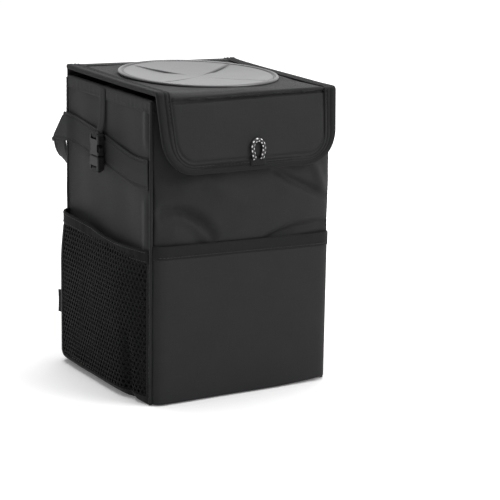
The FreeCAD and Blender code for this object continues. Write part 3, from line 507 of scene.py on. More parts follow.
def white_floor():
    """A wide floor that stays white to the eye: it glows a little, more with the distance from the bin."""
    mesh = bpy.data.meshes.new("floor")
    corners = [(x * FLOOR_HALF, y * FLOOR_HALF, FLOOR_Z) for x, y in ((-1, -1), (1, -1), (1, 1), (-1, 1))]
    mesh.from_pydata(corners, [], [(0, 1, 2, 3)])
    floor = bpy.data.objects.new("floor", mesh)
    scene.collection.objects.link(floor)
    pale = bpy.data.materials.new("floor_white")
    pale.use_nodes = True
    tree = pale.node_tree
    shader = tree.nodes["Principled BSDF"]
    shader.inputs["Base Color"].default_value = (0.93, 0.93, 0.93, 1.0)
    shader.inputs["Roughness"].default_value = 0.9
    shader.inputs["Specular IOR Level"].default_value = 0.1
    shader.inputs["Emission Color"].default_value = (1.0, 1.0, 1.0, 1.0)
    spot = tree.nodes.new("ShaderNodeTexCoord")
    far = tree.nodes.new("ShaderNodeVectorMath")
    far.operation = "LENGTH"
    tree.links.new(spot.outputs["Object"], far.inputs[0])
    fade = tree.nodes.new("ShaderNodeMapRange")
    for label, value in (("From Min", 0.2), ("From Max", 1.1), ("To Min", 0.12), ("To Max", 0.7)):
        fade.inputs[label].default_value = value
    tree.links.new(far.outputs["Value"], fade.inputs["Value"])
    glow = calc(tree, "MULTIPLY", fade.outputs[0], looked_at(tree))
    tree.links.new(glow, shader.inputs["Emission Strength"])
    mesh.materials.append(pale)


def white_room():
    """The world: a low light on things, and full white to the eye."""
    world = bpy.data.worlds.new("room")
    scene.world = world
    world.use_nodes = True
    tree = world.node_tree
    light = tree.nodes["Background"]
    light.inputs["Color"].default_value = (1.0, 1.0, 1.0, 1.0)
    strength = calc(tree, "MULTIPLY_ADD", looked_at(tree), ROOM_SEEN, ROOM_LIGHT)
    tree.links.new(strength, light.inputs["Strength"])


def lamp(name, spot, aim, size, power):
    """A square soft lamp at a spot, turned to a point, in metres."""
    data = bpy.data.lights.new(name, "AREA")
    data.size = size
    data.energy = power
    piece = bpy.data.objects.new(name, data)
    scene.collection.objects.link(piece)
    back = unit(np.array(spot, float) - np.array(aim, float))
    side = unit(np.cross((0.0, 1.0, 0.02), back))
    piece.matrix_world = pose_matrix(side, np.cross(back, side), back, spot)


white_floor()
white_room()
lamp("overhead", (0.1, 0.25, 1.7), (0, 0, 0.2), 1.4, 34.0)
lamp("front_fill", (1.25, -1.3, 1.3), (0, 0, 0.1), 1.2, 31.0)
print("lamps", len(bpy.data.lights))

# %% [markdown]
# ## Cloth walls
# Each wall is a panel of cloth over a board. A flat plane would look like painted metal, so a panel is a
# grid whose distance from the board comes from a few slow waves, and from folds that are drawn as bent
# lines with a bell-shaped section.

# %% Folds and unevenness
def ripple(u, v, seed, length, count=7):
    """Gentle unevenness between about -1 and 1: the mean of a few sine waves of about that length."""
    rng = np.random.default_rng(seed)
    turn, shift = rng.uniform(0, 2 * np.pi, (2, count))
    pace = 2 * np.pi / (length * rng.uniform(0.7, 1.5, count))
    waves = np.sin((u[..., None] * np.cos(turn) + v[..., None] * np.sin(turn)) * pace + shift)
    return waves.mean(-1) * 1.8


def fold(u, v, route, width):
    """A fold between 0 and 1: a hump of the distance from a bent line, fading out at the line's two ends."""
    route = np.asarray(route, float)
    start, step = route[:-1], np.diff(route, axis=0)
    spot = together(u, v)[..., None, :]
    share = np.clip(((spot - start) * step).sum(-1) / (step * step).sum(-1), 0, 1)
    gap = np.linalg.norm(spot - start - share[..., None] * step, axis=-1)
    near = gap.argmin(-1)[..., None]
    along = (near + np.take_along_axis(share, near, -1))[..., 0] / len(step)
    fade = np.sin(np.pi * np.clip(along, 0, 1)) ** 0.6
    return hump(gap.min(-1), 0.0, width) * fade


# %% Side, back and base cloth
HALF_W, HALF_D, SEAM, CLOTH_THICK = 80.0, 75.0, 1.6, 0.9
RIM_SLOPE, RIM_BACK, RIM_FOOT = 0.0179, 75.4, 235.7
WALL_FOOT, UNDER_HEM, WALL_ROWS = 0.6, 0.8, 226
SIDES = (("left", -1), ("right", 1))


def wall_top(y):
    """Height of the cloth under the rim hem: it falls a little towards the front."""
    return RIM_FOOT - RIM_SLOPE * (RIM_BACK - np.asarray(y, float))


def panel_grid(half, top, step=1.6):
    """A grid over a panel: across from seam to seam, up from the base to its top edge, which may slope."""
    across = np.linspace(-half, half, int(2 * half / step) + 1)
    share = np.linspace(0, 1, int(WALL_ROWS / step) + 1)
    a = np.broadcast_to(across, (len(share), len(across)))
    return a, WALL_FOOT + share[:, None] * (top(a) + UNDER_HEM - WALL_FOOT)


def sewn_panel(name, places, flat, out, node):
    """A stretched cloth panel of the bin. Size is the flat cloth in metres, under what it lies on."""
    cloth = thicken(skin(name, places, flat, CLOTH, out), CLOTH_THICK)
    settle(cloth, "bin", "oxford_cloth", node)


def side_swell(a, z, seed):
    """Slack of a side wall: slow waves and soft upright ridges that end at the seams, and a puff beside the
    front seam, above and below the strap."""
    edge = bell(a / (HALF_D - SEAM)) ** 0.5
    ridge = np.sin(a / 7.3 + 0.8 * np.sin(z / 46.0) + seed) * ramp(z, 125, 165)
    puff = hump(a, -66.0, 4.0) * ramp(np.abs(z - 185), 16, 26)
    return edge * (0.55 * ripple(a, z, seed, 70.0) + 0.16 * ridge - 0.25) + puff


for name, side, seed in (("left", -1, 3), ("right", 1, 8)):
    a, z = panel_grid(HALF_D - SEAM, wall_top)
    tuck = 0.95 * hump(a, SEAM - HALF_D, 2.2)
    places = together(side * (HALF_W + side_swell(a, z, seed) - tuck), a, z)
    sewn_panel(name + "_cloth", places, together(a, z), (side, 0, 0), name + "_panel")

a, z = panel_grid(HALF_W - SEAM, lambda a: wall_top(HALF_D + 0 * a))
places = together(a, HALF_D + bell(a / 79) ** 0.5 * (0.6 * ripple(a, z, 21, 80.0) - 0.2), z)
sewn_panel("back_cloth", places, together(a, z), (0, 1, 0), "back_panel")

u, v = np.meshgrid(np.linspace(-HALF_W, HALF_W, 81), np.linspace(-HALF_D, HALF_D, 76))
edge = np.minimum(HALF_W - np.abs(u), HALF_D - np.abs(v))
lift = 0.9 * ramp(edge, 3, 0) ** 2 + 0.15 * (1 + ripple(u, v, 5, 40.0)) * ramp(edge, 0, 20)
sewn_panel("base_cloth", together(u, v, lift), together(u, v), (0, 0, -1), "base_panel")

# %% [markdown]
# The front cloth is slack above the pocket. It bulges over the pocket's edge and has a few real folds: a
# curved one at the lower left with a wider one under it, two that run in from the right seam, and two soft
# ridges between them. Each is a depth, a width and a bent line of places across and up the front.

# %% Front cloth
FRONT_HALF = HALF_W - SEAM
FRONT_FOLDS = (
    (-6.4, 4.6, [(-80, 151), (-72, 155.5), (-62, 156.1), (-52, 153.6), (-43, 148.8), (-36, 143), (-30, 136),
                 (-26, 128)]),
    (-3.2, 7.0, [(-76, 145), (-60, 146), (-48, 140), (-40, 132), (-34, 122)]),
    (-4.4, 3.8, [(22, 184), (31, 179), (38, 174.6), (52, 167.8), (66, 160.8), (78, 155), (84, 152)]),
    (2.4, 4.5, [(50, 196), (59, 187), (65, 179), (71, 166), (77, 150)]),
    (-4.2, 4.0, [(18, 124), (26, 127), (34, 129.4), (48, 131.9), (66, 133.6), (86, 134)]),
    (1.5, 7.0, [(-60, 176), (-38, 181), (-20, 168), (0, 160)]),
)


def front_out(x, z):
    """How far the front cloth stands ahead of its board: an arched bulge and the folds, behind the pocket."""
    arch = np.sin(np.pi * ramp(z, 116, 233)) ** 0.55
    roundness = np.where(x > 0, 0.38, 0.36 + 0.54 * ramp(z, 165, 195))
    out = 10.3 * bell(x / FRONT_HALF) ** roundness * arch
    folds = sum(high * fold(x, z, route, width) for high, width, route in FRONT_FOLDS)
    out = out + folds * ramp(np.abs(x), FRONT_HALF, FRONT_HALF - 6) ** 0.5
    out = np.minimum(out, 4.4 + 1.3 * np.maximum(z - 126.0, 0.0))
    slack = ramp(z, 112, 137) * ramp(z, 233, 213)
    return out + bell(x / FRONT_HALF) ** 0.5 * 0.5 * slack * ripple(x, z, 33, 42.0)


a, z = panel_grid(FRONT_HALF, lambda a: wall_top(-HALF_D + 0 * a), 1.1)
over_cord = 2.2 * ramp(a, 0, FRONT_HALF) ** 8
places = together(a + over_cord, -HALF_D - np.maximum(front_out(a, z), -0.3), z)
sewn_panel("front_cloth", places, together(a, z), (0, -1, 0), "front_panel")

# %% [markdown]
# ## Seams and rim
# A thin covered cord stands in each upright seam. The top edge is turned over as a hem: one section that
# goes up outside, over, and down inside, carried round the mouth.

# %% Seam cords
LID_BACK = 75.9
CORNERS = (("front_left", -1, -1), ("front_right", 1, -1), ("back_left", -1, 1), ("back_right", 1, 1))


def droop(x, s):
    """How far the lid sags at x and at the length s from its back edge: most at the front right corner. At
    the back it stands a little high on the left and low on the right."""
    share = ramp(x, -HALF_W, HALF_W)
    front = 0.5 + 2.2 * (1 - np.exp(-share / 0.15)) + 2.2 * share ** 2.5
    tilt = (1.4 - 2.3 * share) * ramp(s, 110, 0) ** 1.2
    return front * ramp(s, 0, 140) ** 0.55 - tilt


def hem_fall(ring):
    """The rim gives way under the sagging lid where the lid comes lower than the rim's own slope."""
    give = 1.9 + 0.6 * np.clip(ring[:, 1] / HALF_D, -1, 1)
    lower = droop(ring[:, 0], LID_BACK - ring[:, 1]) - RIM_SLOPE * (RIM_BACK - ring[:, 1])
    return np.maximum(lower, 0.0) + give


def hem_foot(ring):
    """Height of the hem's lower edge round the mouth."""
    return wall_top(ring[:, 1]) - hem_fall(ring)


for name, sx, sy in CORNERS:
    corner = np.array([[sx * HALF_W, sy * HALF_D]])
    height = np.arange(0.3, float(hem_foot(corner)[0]) + 9.4, 1.2)
    wander = 0.12 * np.sin(height / 9.0 + sx + 2 * sy)
    line = together(sx * HALF_W + wander * sy, sy * HALF_D + wander * sx, height)
    girth = 1.42 + 0.07 * np.sin(height * 1.7) + 0.05 * np.sin(height * 0.31)
    seam = tube("seam_cord_" + name, line, girth, CLOTH, 12, (1.0, 0.0, 0.0))
    settle(seam, "bin", "oxford_cloth", "piping_" + name)

# %% Rim hem
HEM_SECTION = np.array([(-0.6, -0.3), (0.15, 0.0), (0.45, 0.7), (0.3, 1.7), (0.5, 3.5), (0.45, 7.0),
                        (0.4, 8.9), (0.0, 9.7), (-1.0, 10.0), (-2.8, 10.0), (-3.8, 9.6), (-4.2, 8.6),
                        (-4.25, 5.0), (-4.2, 1.0), (-3.6, 0.2)])


def round_mouth(half_x, half_y, corner, step):
    """Points round a rectangle with quarter-circle corners, a step apart, and the way outward at each."""
    turn = np.linspace(0, np.pi / 2, 9)
    quarter = together(np.cos(turn), np.sin(turn))
    spin = [np.array([[c, s], [-s, c]]) for c, s in ((1, 0), (0, 1), (-1, 0), (0, -1))]
    middles = np.array([(1, 1), (-1, 1), (-1, -1), (1, -1)]) * (half_x - corner, half_y - corner)
    ring = np.concatenate([m + corner * quarter @ s for m, s in zip(middles, spin)])
    ring = even(np.vstack([ring, ring[:1]]), step)[:-1]
    out = np.roll(ring, -1, 0) - np.roll(ring, 1, 0)
    return ring, unit(together(out[:, 1], -out[:, 0]))


ring, out = round_mouth(HALF_W, HALF_D, 1.4, 1.5)
run = lengths(np.vstack([ring, ring[:1]]))
pucker = 0.14 * np.sin(run[:-1] * 0.9) * np.sin(run[:-1] * 0.13)
offset = HEM_SECTION[:, 0] + pucker[:, None] * bell((HEM_SECTION[:, 1] - 4) / 4)
limit = np.array([HALF_W, HALF_D]) + np.maximum(offset, HEM_SECTION[:, 0])[..., None]
spread = np.clip(ring[:, None] + out[:, None] * offset[..., None], -limit, limit)
level = hem_foot(ring)[:, None] + HEM_SECTION[:, 1]
places = np.concatenate([spread, level[..., None]], -1).transpose(1, 0, 2)
flat = together(run[None], lengths(HEM_SECTION)[:, None])
hem = skin("rim_hem_cloth", places, flat, CLOTH, (0, 0, 1), closed=True)
settle(thicken(hem, 0.5), "bin", "oxford_cloth", "rim_hem")

# %% [markdown]
# ## Stitches
# Every seam is sewn, and a row of stitches catches the light even on black. One stitch is a small bead
# of a few faces. A row repeats it along a line as one array, lying along the line and half sunk.

# %% Stitch rows
PITCH, STITCH, STITCH_RADIUS = 3.1, 2.2, 0.32


def stitch_row(name, line, normal, body):
    """Stitches along a line: a bead of five rings of six points, set out every pitch, turned along it."""
    run = lengths(line)
    count = int(run[-1] / PITCH)
    at = (np.arange(count) + 0.5) * run[-1] / count
    spots = at_length(at, run, line)
    over = unit(at_length(at, run, np.broadcast_to(normal, line.shape)))
    ahead = unit(at_length(at, run, np.gradient(line, axis=0)))
    side = np.cross(over, ahead)
    reach = np.array([-1.0, -0.62, 0.0, 0.62, 1.0]) * STITCH / 2
    girth = np.array([0.3, 0.85, 1.0, 0.85, 0.3]) * STITCH_RADIUS
    turn = np.arange(6) * np.pi / 3
    bead = together(reach[:, None], np.outer(girth, np.cos(turn)), np.outer(girth, np.sin(turn)))
    bead = bead.reshape(-1, 3)
    places = (spots[:, None] + ahead[:, None] * bead[None, :, :1] + side[:, None] * bead[None, :, 1:2]
              + over[:, None] * bead[None, :, 2:])
    ring = wrapped(np.arange(30).reshape(5, 6))
    one = [*quads(ring)[:, ::-1].tolist(), list(range(6))[::-1], list(range(24, 30))]
    faces = [[k + 30 * i for k in face] for i in range(count) for face in one]
    flat = np.tile(bead[:, :2], (count, 1))[np.concatenate(faces)]
    row = new_piece(name, places.reshape(-1, 3), faces, flat, THREAD)
    if body:
        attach(row, body)
    print(name, count, "stitches")
    return row


def level_out(out):
    """Plan directions as directions in space."""
    return np.column_stack([out, np.zeros(len(out))])


line = np.column_stack([ring + out * 0.42, hem_foot(ring) + 1.9])
stitch_row("rim_stitches", np.vstack([line, line[:1]]), level_out(np.vstack([out, out[:1]])), "bin")

# %% [markdown]
# ## Front pocket
# The pocket is a shallow tray of cloth: its face stands a few millimetres ahead of the wall and turns back
# at both seams. The plan is one rounded curve, and the same curve carries the bound top edge, which falls
# a little to the right.

# %% Front pocket
def pocket_plan(step):
    """Plan of the pocket: across from seam to seam, standing out by a flat-topped curve of the distance."""
    t = np.sin(np.linspace(-np.pi / 2, np.pi / 2, 1201))
    return even(together(80.2 * t + 1.2, -HALF_D - 6.6 * (1 - np.abs(t) ** 22) ** 0.55), step)


def outward(plan, sign=1.0):
    """Directions square to a plan line, to its right when sign is 1."""
    ahead = unit(np.gradient(plan, axis=0))
    return sign * together(ahead[:, 1], -ahead[:, 0])


plan = pocket_plan(1.5)
out = outward(plan)
run = lengths(plan)
sag = 1.6 * plan[:, 0] / HALF_W - 0.3
top = 117.6 - sag
foot = 0.8 + 2.2 * ramp(plan[:, 0], 20, 78) ** 2
z = foot + np.linspace(0, 1, 80)[:, None] * (top - foot)
x = np.broadcast_to(plan[:, 0], z.shape)
crease = fold(x, z, [(-70, 20), (-30, 12), (20, 16), (70, 8)], 9.0)
swell = bell(x / 77) ** 0.6 * (0.9 * np.sin(np.pi * ramp(z, 0, 122)) + 0.4 * ripple(x, z, 12, 60.0)
                               - 0.35 * crease)
places = np.concatenate([plan + out * swell[..., None], z[..., None]], -1)
sewn_panel("front_pocket_cloth", places, together(run - run[-1] / 2, z), (0, -1, 0), "front_pocket")


# %% Pocket's bound edge
def edge_band(name, plan, out, low, high, material, inside=-1.4, proud=0.55, wavy=0.1):
    """A tape folded over a pocket's edge: up the outside, over the top, down the inside, along the plan."""
    run = lengths(plan)
    share = np.array([0.0, 0.04, 0.3, 0.6, 0.9, 0.97, 1.0, 1.0, 0.97, 0.9, 0.5, 0.1])
    stand = np.array([0.1, proud, proud, proud, proud, proud * 0.7, 0.1, inside * 0.6, inside * 0.9, inside,
                      inside, inside])
    ruck = wavy * np.sin(run * 0.55) * np.sin(run * 0.071 + 0.6)
    stand_off = stand + ruck[:, None] * bell((share - 0.5) * 2)
    level = low[:, None] + (high - low)[:, None] * share
    places = np.concatenate([plan[:, None] + out[:, None] * stand_off[..., None], level[..., None]], -1)
    girth = np.concatenate([share[:7], 2 - share[7:]]) * float((high - low).mean())
    facing = level_out(out)
    facing = np.repeat((facing[:-1] + facing[1:]) / 2, len(share) - 1, 0)
    facing = facing * np.tile(np.where(stand[:-1] > 0, 1.0, -1.0), len(out) - 1)[:, None]
    return thicken(skin(name, places, together(run[:, None], girth), material, facing), 0.35)


band = edge_band("front_pocket_binding", plan, out, 115.8 - sag, 126.8 - sag, TAPE)
settle(band, "bin", "binding_tape", "front_pocket_band")
line = np.column_stack([plan + out * 0.6, 118.0 - sag])
stitch_row("front_pocket_stitches", line[4:-4], level_out(out)[4:-4], "bin")

# %% [markdown]
# ## Net pockets
# The side pockets are a knitted net under an elastic band. One mesh of the net is a hexagon with a round
# hole. The whole net is that shape repeated over the unrolled pocket, then laid onto the pocket's curve,
# so every hole is real and the wall behind shows through.

# %% Net surface
NET_HALF, NET_DEEP, NET_HIGH = 73.3, 11.6, 119.0
NET_PITCH, NET_HOLE = 4.2, 1.3


def net_off(t, z):
    """How far the net stands off the wall, as a share: square at the back, tapered to the front, and drawn
    in by the elastic towards the top."""
    back = np.clip(1 - np.abs(t) ** 22, 0, 1) ** 0.7
    front = np.clip(1 - np.abs(t) ** 3, 0, 1) ** 0.9
    drawn = np.clip(1 - np.abs(t) ** 16, 0, 1) ** 0.7
    pull = ramp(z, 100, 127) ** 1.3
    return np.where(t > 0, back * (1 - pull) + drawn * pull, front)


def net_table():
    """The unrolled net: the share across for each length along the pocket's curve, low down."""
    t = np.sin(np.linspace(-np.pi / 2, np.pi / 2, 2001))
    return t, lengths(together(NET_HALF * t, NET_DEEP * net_off(t, 40.0)))


NET_T, NET_RUN = net_table()
NET_END = NET_RUN[-1] / 2


def net_place(s, z, side, proud=0.0):
    """A spot on a net pocket: a curve in plan that stands off the wall, drawn in at the foot and the top,
    with a soft crease near the front low down. s is the length from the middle of the pocket."""
    t = np.interp(s + NET_END, NET_RUN, NET_T)
    pull = 0.28 + 0.26 * ramp(t, 0.75, 0.25)
    full = np.sqrt(1 - (1 - ramp(z, 0, 12)) ** 2.2) - pull * ramp(z, 88, 126) ** 1.4
    y = NET_HALF * t
    off = NET_DEEP * net_off(t, z) * full
    off = off - 3.4 * fold(y, z, [(-54, -20), (-52, 6), (-51, 28), (-49, 58)], 4.6)
    off = off + 0.5 * ripple(y, z, 40 + side, 45.0) * bell(t)
    return together(side * (HALF_W + 0.5 + np.maximum(off, 0.0) + proud), y, z)


def hexagon_net(pitch, hole):
    """Hexagon meshes over the unrolled pocket: twelve faces from rim to hole, equal corners merged."""
    row = pitch * math.sqrt(3) / 2
    s, k = np.meshgrid(np.arange(-40, 41), np.arange(0, 34))
    middles = together((s + 0.5 * (k % 2)) * pitch, 2.0 + k * row).reshape(-1, 2)
    middles = middles[(np.abs(middles[:, 0]) < NET_END - 1.2) & (middles[:, 1] < NET_HIGH)]
    j = np.arange(12)
    turn = j * np.pi / 6
    reach = np.where(j % 2 == 1, pitch / math.sqrt(3), pitch / 2)
    rim = together(np.cos(turn), np.sin(turn)) * reach[:, None]
    gap = together(np.cos(turn), np.sin(turn) * 1.08) * hole
    points = (middles[:, None] + np.vstack([rim, gap])).reshape(-1, 2)
    one = together(j, (j + 1) % 12, 12 + (j + 1) % 12, 12 + j)
    faces = (one + 24 * np.arange(len(middles))[:, None, None]).reshape(-1, 4)
    merged, back = np.unique(np.round(points, 3), axis=0, return_inverse=True)
    return merged, back.reshape(-1)[faces]


spots, faces = hexagon_net(NET_PITCH, NET_HOLE)
for name, side in SIDES:
    order = faces if side > 0 else faces[:, ::-1]
    places = net_place(spots[:, 0], spots[:, 1], side)
    net = thicken(new_piece(name + "_net", places, order, spots[order].reshape(-1, 2), NET), 0.6)
    settle(net, "bin", "net", name + "_mesh_pocket")


# %% Elastic band and edge tape of the nets
def net_tape(name, side, s, z, lengthwise):
    """A tape sewn over an edge of the net: a strip of the net's own surface, a little proud of it."""
    spots = np.stack(np.meshgrid(s, z), -1)
    places = net_place(spots[..., 0], spots[..., 1], side, 0.35)
    flat = spots if lengthwise else spots[..., ::-1]
    settle(thicken(skin(name, places, flat, TAPE, (side, 0, 0)), 0.7), "bin", "binding_tape")


for name, side in SIDES:
    s = np.linspace(-NET_END, NET_END, 131)
    plan = net_place(s, np.full_like(s, 122.0), side)[:, :2]
    out = outward(plan, side)
    level = 6.6 * eased(ramp(plan[:, 1], -30, 55)) - 2.4 + 0.15 * np.sin(s / 11.0) - 1.5 * bell(s / 75)
    band = edge_band(name + "_net_band", plan, out, 116.4 + level, 126.9 + level, ELASTIC, -1.2, 0.6, 0.22)
    settle(band, "bin", "binding_tape", name + "_pocket_band")
    for tag, high in (("lower", 118.0), ("upper", 125.2)):
        line = np.column_stack([plan + out * 0.65, high + level])
        stitch_row(name + "_net_stitches_" + tag, line[3:-3], level_out(out)[3:-3], "bin")
    net_tape(name + "_net_foot_tape", side, s, np.linspace(0.3, 6.5, 12), True)
    for tag, end, wide in (("front", -1, 2.2), ("back", 1, 18.0)):
        strip = end * (NET_END - np.linspace(0.0, wide, 12))
        net_tape(name + "_net_" + tag + "_tape", side, strip, np.linspace(0.5, 118.0, 60), False)

# %% [markdown]
# ## Strap and side tapes
# The strap is a flat band of webbing. It is sewn across each side, leaves at the back edge, is turned down
# there by a slanting fold, sags, and goes round the bar of its buckle. The small buckles hang on short
# tapes: a rounded thin section carried along a smooth line.

# %% Flat bands
def smooth_line(points, step):
    """A smooth line through points: cubic pieces whose slope at a point comes from its two neighbours."""
    points = np.asarray(points, float)
    run = lengths(points)
    slope = np.gradient(points, run, axis=0)
    at = np.linspace(0, run[-1], 40 * len(points))
    k = np.clip(np.searchsorted(run, at, side="right") - 1, 0, len(points) - 2)
    span = (run[k + 1] - run[k])[:, None]
    t = ((at - run[k])[:, None]) / span
    line = ((1 + 2 * t) * (1 - t) ** 2 * points[k] + t * (1 - t) ** 2 * span * slope[k]
            + t ** 2 * (3 - 2 * t) * points[k + 1] + t ** 2 * (t - 1) * span * slope[k + 1])
    return even(line, step)


def across(line, ways):
    """The width direction at each point of a line: the wanted direction, made square to the line."""
    ahead = unit(np.gradient(line, axis=0))
    return unit(ways - ahead * (ways * ahead).sum(-1, keepdims=True))


def flat_band(name, line, wide, thick, material, upright, ridge=0.08, count=48):
    """A band along a line: a flat rounded section with two ridges, its width as near upright as it can be."""
    up = across(line, np.broadcast_to(upright, line.shape))
    deep = np.cross(unit(np.gradient(line, axis=0)), up)
    turn = np.linspace(0, 2 * np.pi, count, endpoint=False)
    c, s = np.cos(turn), np.sin(turn)
    w = np.sign(c) * np.abs(c) ** 0.35 * wide / 2
    d = np.sign(s) * np.abs(s) ** 0.7 * (thick / 2 - ridge * np.cos(4 * np.pi * w / wide))
    places = line[:, None] + up[:, None] * w[None, :, None] + deep[:, None] * d[None, :, None]
    flat = together(lengths(line)[:, None], np.append(w, w[0])[None])
    return skin(name, places, flat, material, None, True, True)


# %% Strap
STRAP_Y = (-72.0, -60.0, -46.0, -26.0, -4.0, 12.0, 37.0, 58.0)
STRAP_Z = (184.0, 183.5, 183.9, 186.8, 190.8, 193.7, 197.0, 199.5)
STRAP_LIE, STRAP_LIFT, STRAP_HALF, STRAP_SEAM = 81.45, 83.1, 12.0, 9.6
HUB_Y, HUB_Z, BEND, SLANT = 88.5, 199.4, 1.05, math.radians(41.0)
LATCH_Y, LATCH_Z, BAR_X, WRAP = 101.0, 151.5, 23.4, 3.16


def strap_guides(side):
    """Two lines: the strap along its wall and past the back edge, and the strap behind, down to its bar."""
    wall = [(STRAP_LIE, y, z) for y, z in zip(STRAP_Y, STRAP_Z)]
    wall += [(STRAP_LIFT, y, z) for y, z in ((72.0, 200.7), (77.0, 200.5), (HUB_Y, HUB_Z), (112.0, 197.1))]
    inner, far = STRAP_LIFT - 2 * BEND, LATCH_Y + WRAP
    back = [(inner, 87.9, 219.4), (inner, HUB_Y, HUB_Z), (inner - 0.8, 88.6, 188.0),
            (inner - 3.2, 89.6, 177.0), (inner - 9.0, 93.5, 165.5), (inner - 20.0, 100.0, 156.5),
            (BAR_X + 17, far + 0.7, 152.6), (BAR_X, far, LATCH_Z)]
    turn = np.pi * np.arange(1, 5) / 4
    back += [(BAR_X - WRAP * math.sin(k), LATCH_Y + WRAP * math.cos(k), LATCH_Z) for k in turn]
    back += [(BAR_X + 4 * WRAP, far - 2.4, LATCH_Z), (BAR_X + 7 * WRAP, far - 2.2, LATCH_Z + 0.6)]
    return smooth_line(np.array(wall) * (side, 1, 1), 1.0), smooth_line(np.array(back) * (side, 1, 1), 1.0)


def follow(line, ways, s, w, zero):
    """Spots on a band: the place on its line at length s, counted from a zero, plus w along the width."""
    run = lengths(line) - zero
    return at_length(s, run, line) + w[..., None] * unit(at_length(s, run, ways))


def folded_strap(side):
    """A band turned down by a slanting fold behind the back edge. Up to the crease it follows its wall line.
    Round the crease it goes through a half turn, and beyond it the second line, in mirrored directions."""
    wall, back = strap_guides(side)
    ahead, up = np.array([0.0, 0.995, -0.0995]), np.array([0.0, 0.0995, 0.995])
    crease = math.cos(SLANT) * ahead - math.sin(SLANT) * up
    beyond = math.sin(SLANT) * ahead + math.cos(SLANT) * up
    down, turned = 2 * (ahead @ crease) * crease - ahead, 2 * (up @ crease) * crease - up
    hub = np.array([side * STRAP_LIFT, HUB_Y, HUB_Z])
    start = np.interp(HUB_Y, wall[:, 1], lengths(wall))
    back_start = lengths(back)[np.argmin(np.abs(back[:20, 2] - HUB_Z))]
    reach = start + np.pi * BEND + lengths(back)[-1] - back_start - 1.0
    s, w = np.meshgrid(np.arange(0.0, reach, 0.9), np.linspace(-STRAP_HALF, STRAP_HALF, 49), indexing="ij")
    q = (s - start) * math.sin(SLANT) + w * math.cos(SLANT)
    p = (s - start) * math.cos(SLANT) - w * math.sin(SLANT)
    wall_ways = across(wall, np.broadcast_to([0.0, 0.0, 1.0], wall.shape))
    first = follow(wall, wall_ways, s, w, 0.0)
    bow = np.clip(q, 0, np.pi * BEND) / BEND
    second = hub + p[..., None] * crease + (BEND * np.sin(bow))[..., None] * beyond
    second = second - np.array([side, 0, 0]) * (BEND * (1 - np.cos(bow)))[..., None]
    flat = p[..., None] * crease - (q - np.pi * BEND)[..., None] * beyond
    ease = eased(ramp(lengths(back) - back_start, 22, 72))[:, None]
    back_ways = across(back, turned * (1 - ease) + np.array([0.0, 0.0, -1.0]) * ease)
    third = follow(back, back_ways, flat @ down, flat @ turned, back_start)
    places = np.where((q < 0)[..., None], first, np.where((q < np.pi * BEND)[..., None], second, third))
    face = unit(np.cross(np.gradient(places, axis=0), np.gradient(places, axis=1)))
    face = face * np.sign(face[5, 24, 0] * side)
    groove = 0.5 * hump(np.abs(w), STRAP_SEAM, 0.7)
    return places - face * groove[..., None], together(s, w), wall, wall_ways


for name, side in SIDES:
    places, flat, wall, ways = folded_strap(side)
    strap = thicken(skin(name + "_strap_band", places, flat, WEBBING, (side, 0, 0)), 1.0)
    settle(strap, "bin", "webbing", name + "_strap")
    sewn = wall[:, 1] < 68.0
    for tag, shift in (("upper", STRAP_SEAM), ("lower", -STRAP_SEAM)):
        route = (wall + ways * shift)[sewn] - np.array([side * 0.3, 0, 0])
        stitch_row(name + "_strap_stitches_" + tag, route, (side, 0, 0), "bin")

# %% Side buckle tapes
CLIP_X, CLIP_Y, CLIP_WRAP = 85.8, 8.0, 2.26
BUCKLE_TAPES = (
    ("upper", [(80.7, 241.0), (80.75, 228.0), (81.7, 213.0), (83.4, 206.5)], 203.4, 180, 450),
    ("lower", [(82.0, 190.4), (82.0, 184.0), (82.2, 179.4), (83.2, 177.2)], 176.1, 170, 440),
)


def buckle_tape(lead, level, first, last):
    """A tape's line out from the wall and up: its lead, then round the buckle's bar between two angles."""
    turn = np.radians(np.linspace(first, last, 9))
    return np.vstack([lead, together(CLIP_X + CLIP_WRAP * np.cos(turn), level + CLIP_WRAP * np.sin(turn))])


for name, side in SIDES:
    for tag, lead, level, first, last in BUCKLE_TAPES:
        route = buckle_tape(lead, level, first, last)
        line = smooth_line(together(side * route[:, 0], CLIP_Y, route[:, 1]), 0.6)
        tape = flat_band(name + "_buckle_tape_" + tag, line, 10.0, 0.95, WEBBING, (0.0, 1.0, 0.0))
        settle(tape, "bin", "webbing", name + "_tape_" + tag)

# %% [markdown]
# ## Lid and flap
# One length of cloth covers the lid, rolls over its front edge and hangs down as the flap. It is worked out
# as an unrolled sheet: x across, and s the length from the back of the lid. One function rolls the sheet up,
# so cloth, binding and stitches all use the same place and direction.

# %% The unrolled lid
LID_HALF, LID_TOP, ROLL_Y, ROLL_Z, ROLL = 80.0, 250.0, -82.44, 247.4, 2.6
ROLL_START = LID_BACK - ROLL_Y
ROLL_END = ROLL_START + ROLL * (math.pi / 2 - LEAN)
FLAP_LONG = 62.24
FOOT = ROLL_END + FLAP_LONG
CORNER = 28.0
CORNER_X = LID_HALF - CORNER
HOLE, COVER_Y = 58.7, -3.7


